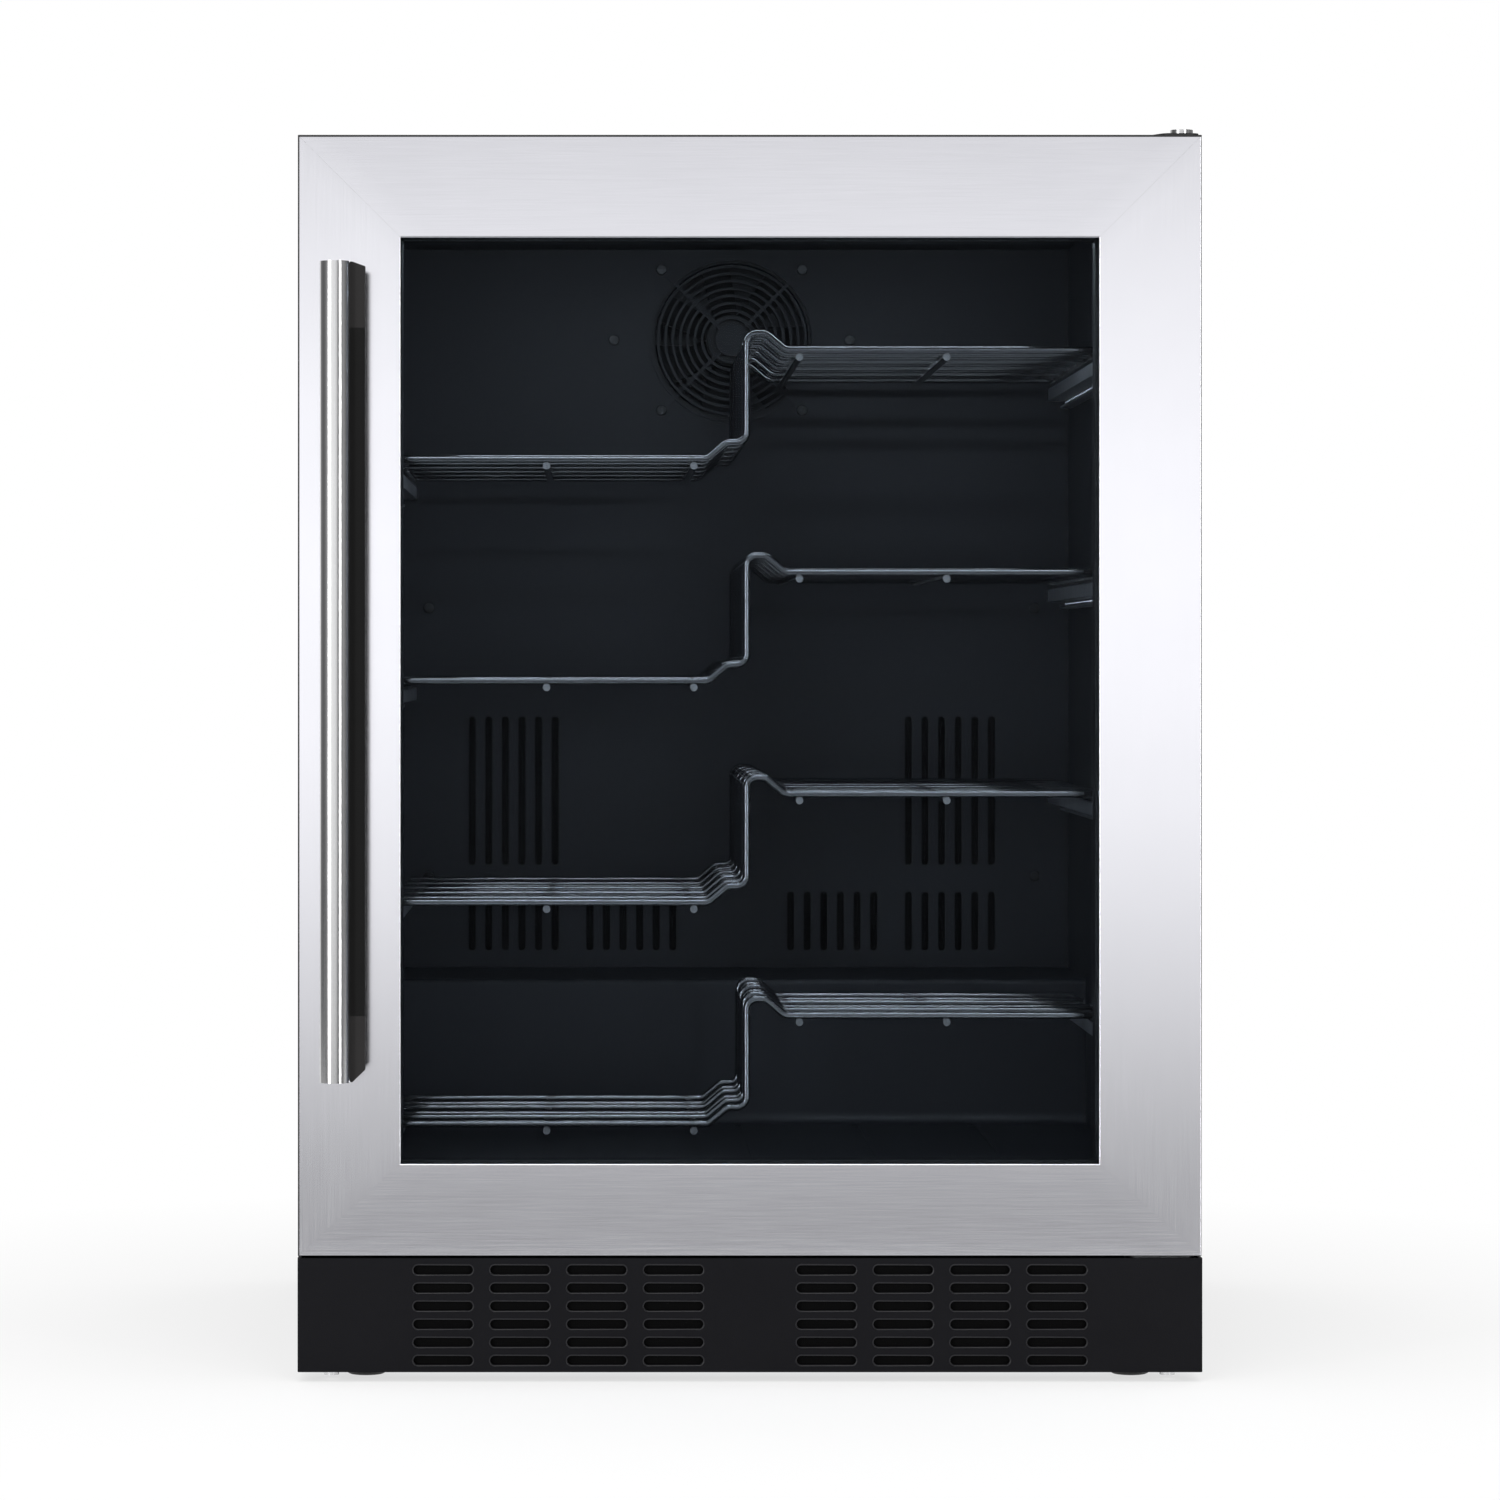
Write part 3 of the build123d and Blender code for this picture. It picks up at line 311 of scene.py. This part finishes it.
dust_and_shade_mesh = make_finish("dust_and_shade_mesh", woven_mesh, {"Specular IOR Level": 0.05})
low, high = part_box("plinth_grille")
filter_y, filter_half, filter_margin, filter_thickness = low.y + 0.0030, 0.232, 0.004, 0.0010
slot_shade_filter = bmesh.new()
bmesh.ops.create_grid(slot_shade_filter, x_segments=40, y_segments=6, size=0.5)
for vert in slot_shade_filter.verts:
    vert.co = (vert.co.x * 2 * filter_half, filter_y,
               (low.z + high.z) / 2 + vert.co.y * (high.z - low.z - 2 * filter_margin))
bmesh.ops.recalc_face_normals(slot_shade_filter, faces=slot_shade_filter.faces)
bmesh.ops.solidify(slot_shade_filter, geom=slot_shade_filter.faces[:], thickness=filter_thickness)
fit("slot_shade_filter", slot_shade_filter, dust_and_shade_mesh, "cabinet", "black_plastic")


# Foam: rigid cream polyurethane between the shell and the liner.
# It shows only where the panels are off, with the fine cells of a cut edge.
def rigid_foam(place):
    cells = place.node("TexVoronoi", {"Vector": place, "Scale": 700.0}, "Distance")
    skin = speckle(place, 0.03)
    return {"Base Color": tint(skin, (0.78, 0.70, 0.45), (0.86, 0.80, 0.58)),
            "Roughness": 0.80 + 0.15 * skin,
            "Normal": relief(cells, 0.0004)}


foam = make_finish("foam", rigid_foam, {"Specular IOR Level": 0.3})
dress(foam, "insulation")


# Liner, duct panel, fan guard and control housing: vacuum-formed and moulded black plastic.
# The sheet has a fine leather grain and a slight sheen under the cabinet light.
def liner_sheet(place):
    grain = speckle(place, 0.0010)
    drawn = speckle(place, 0.15)
    return {"Base Color": tint(drawn, (0.0095, 0.0100, 0.0125), (0.0145, 0.0155, 0.0190)),
            "Roughness": 0.36 + 0.14 * grain + 0.06 * drawn,
            "Normal": relief(grain, 0.00003)}


liner_plastic = make_finish("liner_plastic", liner_sheet, {"Specular IOR Level": 0.4})
dress(liner_plastic, "inner_liner", "duct_panel", "fan_guard", "control_housing")


# Vent screens: the same near-black woven mesh stuck behind the slots of the duct panel to keep dust off the
# coil; its near-black colour is painted shade that hides the coil and pipes behind.
# One patch covers each group of slots.
low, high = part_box("duct_panel")
hump_top, duct_wall, screen_gap, screen_thickness = low.z - 0.0005, 0.002, 0.0002, 0.0004
screen_width, screen_margin = 0.078, 0.008
screens = bmesh.new()
for centre_x, lift, height in ((0.163, 0.077, 0.111), (0.163, 0.013, 0.044), (0.075, 0.013, 0.044)):
    for side in (-1, 1):
        patch = bmesh.ops.create_grid(screens, x_segments=6, y_segments=6, size=0.5)["verts"]
        for vert in patch:
            vert.co = (side * centre_x + vert.co.x * screen_width, low.y + duct_wall + screen_gap,
                       hump_top + lift + height / 2 + vert.co.y * (height + screen_margin))
bmesh.ops.recalc_face_normals(screens, faces=screens.faces)
bmesh.ops.solidify(screens, geom=screens.faces[:], thickness=screen_thickness)
fit("vent_screens", screens, dust_and_shade_mesh, "cabinet", "black_plastic")


# Fans: square moulded frames with a spindle, and bladed rotors that run on them.
# One draws air through the evaporator, the other blows over the condenser.
dress(black_plastic, "evaporator_fan_frame", "evaporator_fan_rotor", "condenser_fan_frame",
      "condenser_fan_rotor")


# Cooling circuit: aluminium-finned coils on copper tube, and an enamelled compressor on rubber mounts.
# The copper lines are brazed to the stubs, with patchy dark stains along them.
def mill_aluminium(place):
    rolled = speckle(place, 0.0006, (1, 1, 40))
    haze = speckle(place, 0.03)
    return {"Base Color": tint(haze, (0.62, 0.63, 0.64), (0.74, 0.75, 0.76)),
            "Roughness": 0.28 + 0.14 * rolled + 0.08 * haze,
            "Normal": relief(rolled, 0.000006)}


def drawn_copper(place):
    stain = speckle(place, 0.02)
    return {"Base Color": tint(stain, (0.42, 0.20, 0.12), (0.78, 0.45, 0.30)),
            "Roughness": 0.24 + 0.24 * stain,
            "Normal": relief(speckle(place, 0.001), 0.000015)}


def stove_enamel(place):
    flow = speckle(place, 0.006)
    return {"Base Color": tint(flow, (0.008, 0.008, 0.008), (0.014, 0.014, 0.014)),
            "Roughness": 0.16 + 0.14 * flow,
            "Normal": relief(flow, 0.00006)}


def black_rubber(place):
    bloom = speckle(place, 0.008)
    grain = speckle(place, 0.0006)
    return {"Base Color": tint(bloom, (0.010, 0.010, 0.010), (0.026, 0.026, 0.026)),
            "Roughness": 0.66 + 0.18 * bloom,
            "Normal": relief(grain, 0.00003)}


aluminium = make_finish("aluminium", mill_aluminium, {"Metallic": 1.0})
copper = make_finish("copper", drawn_copper, {"Metallic": 1.0})
compressor_enamel = make_finish("compressor_enamel", stove_enamel, {"Specular IOR Level": 0.5})
rubber = make_finish("rubber", black_rubber, {"Specular IOR Level": 0.3})
dress(aluminium, "condenser")
dress(make_finish("coated_fins", stove_enamel, {"Specular IOR Level": 0.4}), "evaporator")
dress(copper, "refrigerant_lines")
dress(compressor_enamel, "compressor")
dress(rubber, "compressor_mounts", "cord_gland")


# Controls and light: a dark touch window and a white light strip under the ceiling.
# The lens is opal plastic over a row of cool white diodes in an aluminium channel.
def opal_lens(place):
    dots = place.node("TexNoise", {"Vector": place, "Scale": 90.0})
    return {"Base Color": tint(dots, (0.84, 0.88, 0.94), (0.92, 0.95, 1.0)),
            "Emission Color": tint(dots, (0.78, 0.88, 1.0), (0.90, 0.96, 1.0)),
            "Roughness": 0.30 + 0.10 * dots}


def touch_glass(place):
    film = speckle(place, 0.02)
    return {"Base Color": tint(film, (0.006, 0.006, 0.007), (0.010, 0.010, 0.012)),
            "Roughness": 0.06 + 0.08 * film}


def touch_mark_print(place):
    ink = speckle(place, 0.0008)
    return {"Base Color": tint(ink, (0.50, 0.52, 0.55), (0.62, 0.64, 0.67)),
            "Roughness": 0.40 + 0.10 * ink}


dress(aluminium, "led_channel")
dress(make_finish("lens_plastic", opal_lens, {"Emission Strength": 19.0}), "led_lens")
dress(make_finish("window_plastic", touch_glass, {"Coat Weight": 0.5}), "control_window")
low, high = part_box("control_window")
mark_pitch, mark_radius, mark_inside, mark_film = 0.020, 0.0045, 0.84, 0.0001
mark_y = (low.y + high.y) / 2
marks = bmesh.new()
for i in (-2, -1, 0, 1, 2):
    ring = bmesh.ops.create_circle(marks, segments=24, radius=mark_radius)["verts"]
    bmesh.ops.translate(marks, vec=(i * mark_pitch, mark_y, low.z - mark_film), verts=ring)
band = bmesh.ops.extrude_edge_only(marks, edges=marks.edges[:])["geom"]
for vert in [g for g in band if isinstance(g, bmesh.types.BMVert)]:
    middle = round(vert.co.x / mark_pitch) * mark_pitch
    vert.co.x = middle + (vert.co.x - middle) * mark_inside
    vert.co.y = mark_y + (vert.co.y - mark_y) * mark_inside
bmesh.ops.recalc_face_normals(marks, faces=marks.faces)
fit("touch_marks", marks, make_finish("touch_mark_print", touch_mark_print, {}), "cabinet", "window_plastic")


# Hinges and fixings: a stamped plate above and below the door with turned pins, and plated screws and bolts.
# The pins turn in pale plastic bushes pressed into the door's ends.
def bright_plate(place):
    turned_marks = speckle(place, 0.0012)
    return {"Base Color": tint(turned_marks, (0.62, 0.62, 0.63), (0.76, 0.76, 0.77)),
            "Roughness": 0.16 + 0.12 * turned_marks,
            "Normal": relief(turned_marks, 0.00001)}


def bush_nylon(place):
    cloud = speckle(place, 0.004)
    return {"Base Color": tint(cloud, (0.70, 0.70, 0.66), (0.80, 0.80, 0.77)),
            "Roughness": 0.36 + 0.12 * cloud}


bright_steel = make_finish("bright_steel", bright_plate, {"Metallic": 1.0})
dress(zinc_steel, "bottom_hinge_plate")
dress(bright_steel, "hinge_pins", "hinge_bolts", "plinth_bolts", "handle_screws")
black_screws = make_finish("black_screws", stove_enamel, {"Specular IOR Level": 0.5})
dress(black_screws, "panel_screws")
dress(make_finish("bush_plastic", bush_nylon, {}), "hinge_bushes")


# Top fixings: black pan-head screws along the rear edge of the top, and plugs in the spare hinge holes.
# The plugs close the holes that take the hinge plate when the door hangs from the other side.
low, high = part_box("top_panel")
axis = Vector((0, 0, 0))
screw_inset, screw_pitch, plug_x, plug_back, plug_pitch = 0.012, 0.130, 0.2745, 0.012, 0.024
screws = turned([(0, -0.0002), (0.0040, -0.0002), (0.0040, 0.0008), (0.0033, 0.0019), (0.0021, 0.0023),
                 (0.0017, 0.0022), (0.0015, 0.0012), (0, 0.0012)], axis, 24)
repeated(screws, [(i * screw_pitch, high.y - screw_inset, high.z) for i in (-2, -1, 0, 1, 2)])
fit("top_screws", screws, black_screws, "cabinet", "black_screws")
plugs = turned([(0, -0.0002), (0.0060, -0.0002), (0.0060, 0.0003), (0.0052, 0.0011), (0.0030, 0.0015),
                (0, 0.0016)], axis, 24)
repeated(plugs, [(-plug_x, low.y + plug_back + i * plug_pitch, high.z) for i in (0, 1)])
fit("hinge_hole_plugs", plugs, black_plastic, "cabinet", "black_plastic")


# Door: four mitred channels of brushed stainless steel over a plastic core with double glazing.
# The rails are brushed along their length and the stiles along theirs, so the grain turns at each mitre.
stile_width, top_rail, bottom_rail = 0.0675, 0.0670, 0.0605
door_low, door_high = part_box("door_frame")


def brushed_steel(place):
    across = place.node("SeparateXYZ", {0: place}, 0)
    up = place.node("SeparateXYZ", {0: place}, 2)
    from_side = (door_high.x - abs(across)) / stile_width
    from_top = (door_high.z - up) / top_rail
    from_foot = (up - door_low.z) / bottom_rail
    from_rail = place.maths("MINIMUM", from_top, from_foot)
    on_stile = from_side < from_rail
    # Painted shade: the rails are painted darker than the stiles, fading across a soft diagonal at each
    # mitre, for the light each grain direction catches.
    shade = place.node("MapRange", {"Value": from_rail - from_side, "From Min": -0.35, "From Max": 0.25})
    rail_grain = speckle(place, 0.00035, (110, 1, 1))
    stile_grain = speckle(place, 0.00035, (1, 1, 110))
    grain = rail_grain + on_stile * (stile_grain - rail_grain)
    cloud = speckle(place, 0.06)
    face = tint(0.45 * grain + 0.2 * cloud + 0.35 * shade, (0.75, 0.75, 0.80), (0.93, 0.93, 0.98))
    # Painted shade: within about a millimetre of the door's outer edges the steel is painted dark grey,
    # standing for shade on the rounded rim.
    from_end = place.maths("MINIMUM", door_high.z - up, up - door_low.z)
    inset = place.maths("MINIMUM", door_high.x - abs(across), from_end)
    outside_painted_rim_shade = place.node("MapRange", {"Value": inset, "From Min": 0.0003, "From Max": 0.0012})
    steel = place.node("Mix", {0: outside_painted_rim_shade, 6: (0.30, 0.30, 0.32, 1), 7: face}, 2, data_type="RGBA")
    return {"Base Color": steel,
            "Roughness": 0.09 + 0.09 * grain,
            "Normal": relief(grain, 0.000004)}


stainless = make_finish("stainless", brushed_steel, {"Metallic": 1.0})
dress(stainless, "door_frame")
dress(black_plastic, "door_core")
dress(aluminium, "glass_spacer")


# Door trim: a black cap along the top of the door and a thin bead down its handle side.
# The cap stops short of the hinge pin, and its lip runs on over the rounded edge of the steel.
def trim_bar(shape, low, high):
    """Add a bar with eased edges between two corners."""
    bar = bmesh.ops.create_cube(shape, size=1.0)["verts"]
    size = [b - a for a, b in zip(low, high)]
    bmesh.ops.scale(shape, vec=size, verts=bar)
    bmesh.ops.translate(shape, vec=[(a + b) / 2 for a, b in zip(low, high)], verts=bar)
    edges = [edge for edge in shape.edges if edge.verts[0] in bar]
    bmesh.ops.bevel(shape, geom=edges, offset=min(size) * 0.3, affect="EDGES", segments=2, profile=0.5,
                    material=-1)


core_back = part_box("door_core")[1].y
cap_rise, cap_lip, bead_reach, bead_lap, pin_room = 0.0005, 0.0009, 0.0002, 0.0008, 0.024
trim_proud, trim_depth, cap_start, cap_sunk = 0.0002, 0.0012, 0.0008, 0.0001
trim = bmesh.new()
trim_bar(trim, (door_low.x - bead_reach, door_low.y - trim_proud, door_high.z - cap_lip),
         (door_high.x, door_low.y + trim_depth, door_high.z + cap_rise))
trim_bar(trim, (door_low.x - bead_reach, door_low.y + cap_start, door_high.z - cap_sunk),
         (door_high.x - pin_room, core_back, door_high.z + cap_rise))
trim_bar(trim, (door_low.x - bead_reach, door_low.y - trim_proud, door_low.z),
         (door_low.x + bead_lap, door_low.y + trim_depth, door_high.z))
fit("door_trim", trim, black_plastic, "door", "black_plastic")


# Glass: two lightly tinted panes with an anti-glare coat, sealed round an aluminium spacer.
# Seen straight on they are nearly clear, and they mirror the room at a low angle.
glass = bpy.data.materials.new("tinted_glass")
glass.use_nodes = True
tree = glass.node_tree
place = Wire(tree, tree.nodes.new("ShaderNodeTexCoord").outputs["Object"])
facing = place.node("LayerWeight", {"Blend": 0.5}, "Facing")
wiped = speckle(place, 0.08)
clear = place.node("BsdfTransparent", {"Color": (0.92, 0.94, 0.96, 1)})
mirror = place.node("BsdfGlossy", {"Color": (0.9, 0.93, 1.0, 1), "Roughness": 0.02})
pane = place.node("MixShader", {0: (0.001 + 0.55 * facing ** 3) * (0.8 + 0.4 * wiped), 1: clear, 2: mirror})
tree.links.new(pane.socket, tree.nodes["Material Output"].inputs["Surface"])
dress(glass, "glass_panes")


# Door seal: black magnetic gasket with folded bellows, welded at its mitred corners.
# Its foot is pressed into the back of the door, and its flat face meets the cabinet rim.
seal_section = [(0.0020, 0), (0.0180, 0), (0.0186, 0.0012), (0.0172, 0.0024), (0.0188, 0.0038),
                (0.0174, 0.0052), (0.0192, 0.0064), (0.0197, 0.0086), (0.0186, 0.0096), (0.0014, 0.0096),
                (0.0003, 0.0086), (0.0008, 0.0064), (0.0026, 0.0052), (0.0012, 0.0038), (0.0028, 0.0024),
                (0.0014, 0.0012)]
low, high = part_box("door_gasket")
seal = bmesh.new()
corners = []
for x, z, right, up in ((low.x, low.z, 1, 1), (high.x, low.z, -1, 1), (high.x, high.z, -1, -1),
                        (low.x, high.z, 1, -1)):
    ring = [seal.verts.new((x + right * inset, low.y + out, z + up * inset)) for inset, out in seal_section]
    corners.append([seal.edges.new(pair) for pair in zip(ring, ring[1:] + ring[:1])])
for i in range(4):
    bmesh.ops.bridge_loops(seal, edges=corners[i] + corners[(i + 1) % 4])
bmesh.ops.recalc_face_normals(seal, faces=seal.faces)
fit("door_seal", seal, rubber, "door", "rubber", "door_gasket")


# Handle: a brushed steel bar with a rounded face on a dark grip rail with a post at each end; between the
# posts the rail is painted near black as painted shade of the gap behind the bar.
# Two screws from inside the door hold the posts.
def drawn_bar_steel(place):
    grain = speckle(place, 0.00030, (1, 1, 140))
    return {"Base Color": tint(grain, (0.64, 0.64, 0.65), (0.84, 0.84, 0.85)),
            "Roughness": 0.13 + 0.12 * grain,
            "Normal": relief(grain, 0.000008)}


grip_low, grip_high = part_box("handle_grip")
post_length = 0.043


def satin_grip(place):
    bloom = speckle(place, 0.006)
    up = place.node("SeparateXYZ", {0: place}, 2)
    from_end = place.maths("MINIMUM", up - grip_low.z, grip_high.z - up)
    # Painted shade: away from the posts the rail is painted near black for the shadow in the gap behind the
    # bar; the posts stay dark grey.
    on_post = from_end < post_length
    return {"Base Color": tint(0.12 * bloom + 0.88 * on_post, (0.003, 0.003, 0.003), (0.019, 0.018, 0.018)),
            "Roughness": 0.45 + 0.15 * bloom,
            "Normal": relief(speckle(place, 0.0006), 0.00002)}


dress(make_finish("handle_steel", drawn_bar_steel, {"Metallic": 1.0}), "handle_bar")
dress(make_finish("grip_with_painted_gap_shade", satin_grip, {"Specular IOR Level": 0.15}), "handle_grip")


# Racks: welded steel wire dipped in glossy black, with a high tray on the right and a low one on the left.
# Each hangs on runners in zinc-plated channels with rows of bearing balls.
def dipped_coat(place):
    sag = speckle(place, 0.006)
    return {"Base Color": tint(sag, (0.006, 0.006, 0.007), (0.012, 0.012, 0.013)),
            "Roughness": 0.07 + 0.07 * sag,
            "Normal": relief(sag, 0.00004)}


rack_coating = make_finish("rack_coating", dipped_coat,
                           {"IOR": 2.0, "Specular IOR Level": 0.8, "Coat Weight": 0.8})
ball_radius, ball_pitch, ball_x = 0.0018, 0.016, 0.2465
row_drops, right_lift, left_lift = (0.0105, 0.0175), 0.0071, 0.0155
balls = bmesh.new()
for rack in range(1, 5):
    dress(rack_coating, f"rack_{rack}_trays", f"rack_{rack}_necks")
    dress(zinc_steel, f"rack_{rack}_runners")
    low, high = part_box(f"rack_{rack}_runners")
    for side, tray in ((1, high.z + right_lift), (-1, low.z + left_lift)):
        for i in range(int((high.y - low.y) / ball_pitch)):
            for drop in row_drops:
                ball = bmesh.ops.create_uvsphere(balls, u_segments=8, v_segments=6, radius=ball_radius)
                bmesh.ops.translate(balls, vec=(side * ball_x, low.y + (i + 0.5) * ball_pitch, tray - drop),
                                    verts=ball["verts"])
dress(zinc_steel, "slide_channels")
fit("slide_balls", balls, bright_steel, "cabinet", "bright_steel")


# Studio: a pale floor that runs back behind the cooler, three soft lamps and a white surround.
# In mirror surfaces the surround is brightest level with the lens and darker towards the ground.
def studio_rays(tree):
    """Three wires, each 1 for its kind of ray: seen straight, in a mirror, or through glass."""
    return [Wire(tree, tree.nodes.new("ShaderNodeLightPath").outputs[name])
            for name in ("Is Camera Ray", "Is Glossy Ray", "Is Transmission Ray")]


floor_paint = bpy.data.materials.new("studio_floor")
floor_paint.use_nodes = True
tree = floor_paint.node_tree
seen, mirrored, through = studio_rays(tree)
straight = seen.maths("MINIMUM", seen + mirrored + through, 1.0)
spot = Wire(tree, tree.nodes.new("ShaderNodeTexCoord").outputs["Object"])
away = spot.node("VectorMath", {0: spot}, "Value", operation="LENGTH")
open_floor = spot.node("MapRange", {"Value": away, "From Min": 0.45, "From Max": 1.0, "To Min": 0.66,
                                    "To Max": 1.0})
matt = seen.node("BsdfDiffuse", {"Color": (0.92, 0.92, 0.92, 1)})
white = seen.node("Emission", {"Color": (1, 1, 1, 1), "Strength": 1.0})
tree.links.new(seen.node("MixShader", {0: open_floor * straight, 1: matt, 2: white}).socket,
               tree.nodes["Material Output"].inputs["Surface"])
floor_half, floor_middle = (2.2, 3.5, 1), (0, 2.7, 0)
ground = bmesh.new()
bmesh.ops.create_grid(ground, x_segments=1, y_segments=1, size=1.0)
bmesh.ops.scale(ground, vec=floor_half, verts=ground.verts)
bmesh.ops.translate(ground, vec=floor_middle, verts=ground.verts)
floor_mesh = bpy.data.meshes.new("studio_floor")
ground.to_mesh(floor_mesh)
ground.free()
floor_mesh.materials.append(floor_paint)
floor = bpy.data.objects.new("studio_floor", floor_mesh)
bpy.context.scene.collection.objects.link(floor)
floor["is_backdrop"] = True

for name, stand, aim, size, watts in (("lamp_left", (-1.7, -2.3, 0.6), (0, 0, 0.6), (0.4, 1.7), 22),
                                      ("lamp_right", (1.5, -2.5, 0.6), (0, 0, 0.6), (0.4, 1.7), 16),
                                      ("lamp_above", (-0.1, -2.0, 2.7), (0, 0, 0.4), (1.4, 0.7), 20)):
    lamp = bpy.data.lights.new(name, "AREA")
    lamp.shape = "RECTANGLE"
    lamp.size, lamp.size_y = size
    lamp.energy = watts
    holder = bpy.data.objects.new(name, lamp)
    holder.location = stand
    holder.rotation_euler = (Vector(aim) - Vector(stand)).to_track_quat("-Z", "Y").to_euler()
    bpy.context.scene.collection.objects.link(holder)

world = bpy.data.worlds.new("studio")
world.use_nodes = True
bpy.context.scene.world = world
tree = world.node_tree
seen, mirrored, through = studio_rays(tree)
around = Wire(tree, tree.nodes.new("ShaderNodeTexCoord").outputs["Generated"])
height = around.node("SeparateXYZ", {0: around}, 2)
side = around.node("SeparateXYZ", {0: around}, 0)
band_levels = ((0.0, 0.08), (0.425, 0.12), (0.447, 0.33), (0.463, 0.66), (0.478, 0.98), (0.492, 1.18),
               (0.525, 1.18), (0.540, 0.95), (0.556, 0.70), (1.0, 0.66))
wing_levels = ((0.0, 0.12), (0.08, 0.25), (0.18, 1.0), (0.58, 1.0), (0.66, 0.18), (0.90, 0.18), (0.97, 0.35),
               (1.0, 0.15))
band = around.node("ValToRGB", {0: 0.5 + 0.5 * height}, 0,
                   stops=[(at, [level] * 3) for at, level in band_levels])
wings = around.node("ValToRGB", {0: 0.5 + 0.5 * side}, 0,
                    stops=[(at, [level] * 3) for at, level in wing_levels])
mirror_room = around.node("Mix", {0: 1.0, 6: band, 7: wings}, 2, data_type="RGBA", blend_type="MULTIPLY")
clear_view = seen.maths("MINIMUM", seen + through, 1.0)
level = seen.node("Mix", {0: clear_view, 6: (0.85, 0.85, 0.85, 1), 7: (1, 1, 1, 1)}, 2, data_type="RGBA")
colour = seen.node("Mix", {0: mirrored, 6: level, 7: mirror_room}, 2, data_type="RGBA")
tree.links.new(colour.socket, tree.nodes["Background"].inputs["Color"])

view_width, view_height, distance = 0.986, 0.4156, 3.4
lens_at = (-0.1, door_low.y - distance, 0.472)
camera = bpy.data.cameras.new("camera")
camera.lens = camera.sensor_width * distance / view_width
camera.shift_x = -lens_at[0] / view_width
camera.shift_y = (view_height - lens_at[2]) / view_width
camera.clip_end = 50
viewer = bpy.data.objects.new("camera", camera)
viewer.location = lens_at
viewer.rotation_euler = (pi / 2, 0, 0)
bpy.context.scene.collection.objects.link(viewer)
bpy.context.scene.camera = viewer
bpy.context.scene.view_settings.view_transform = "Standard"

low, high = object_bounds()
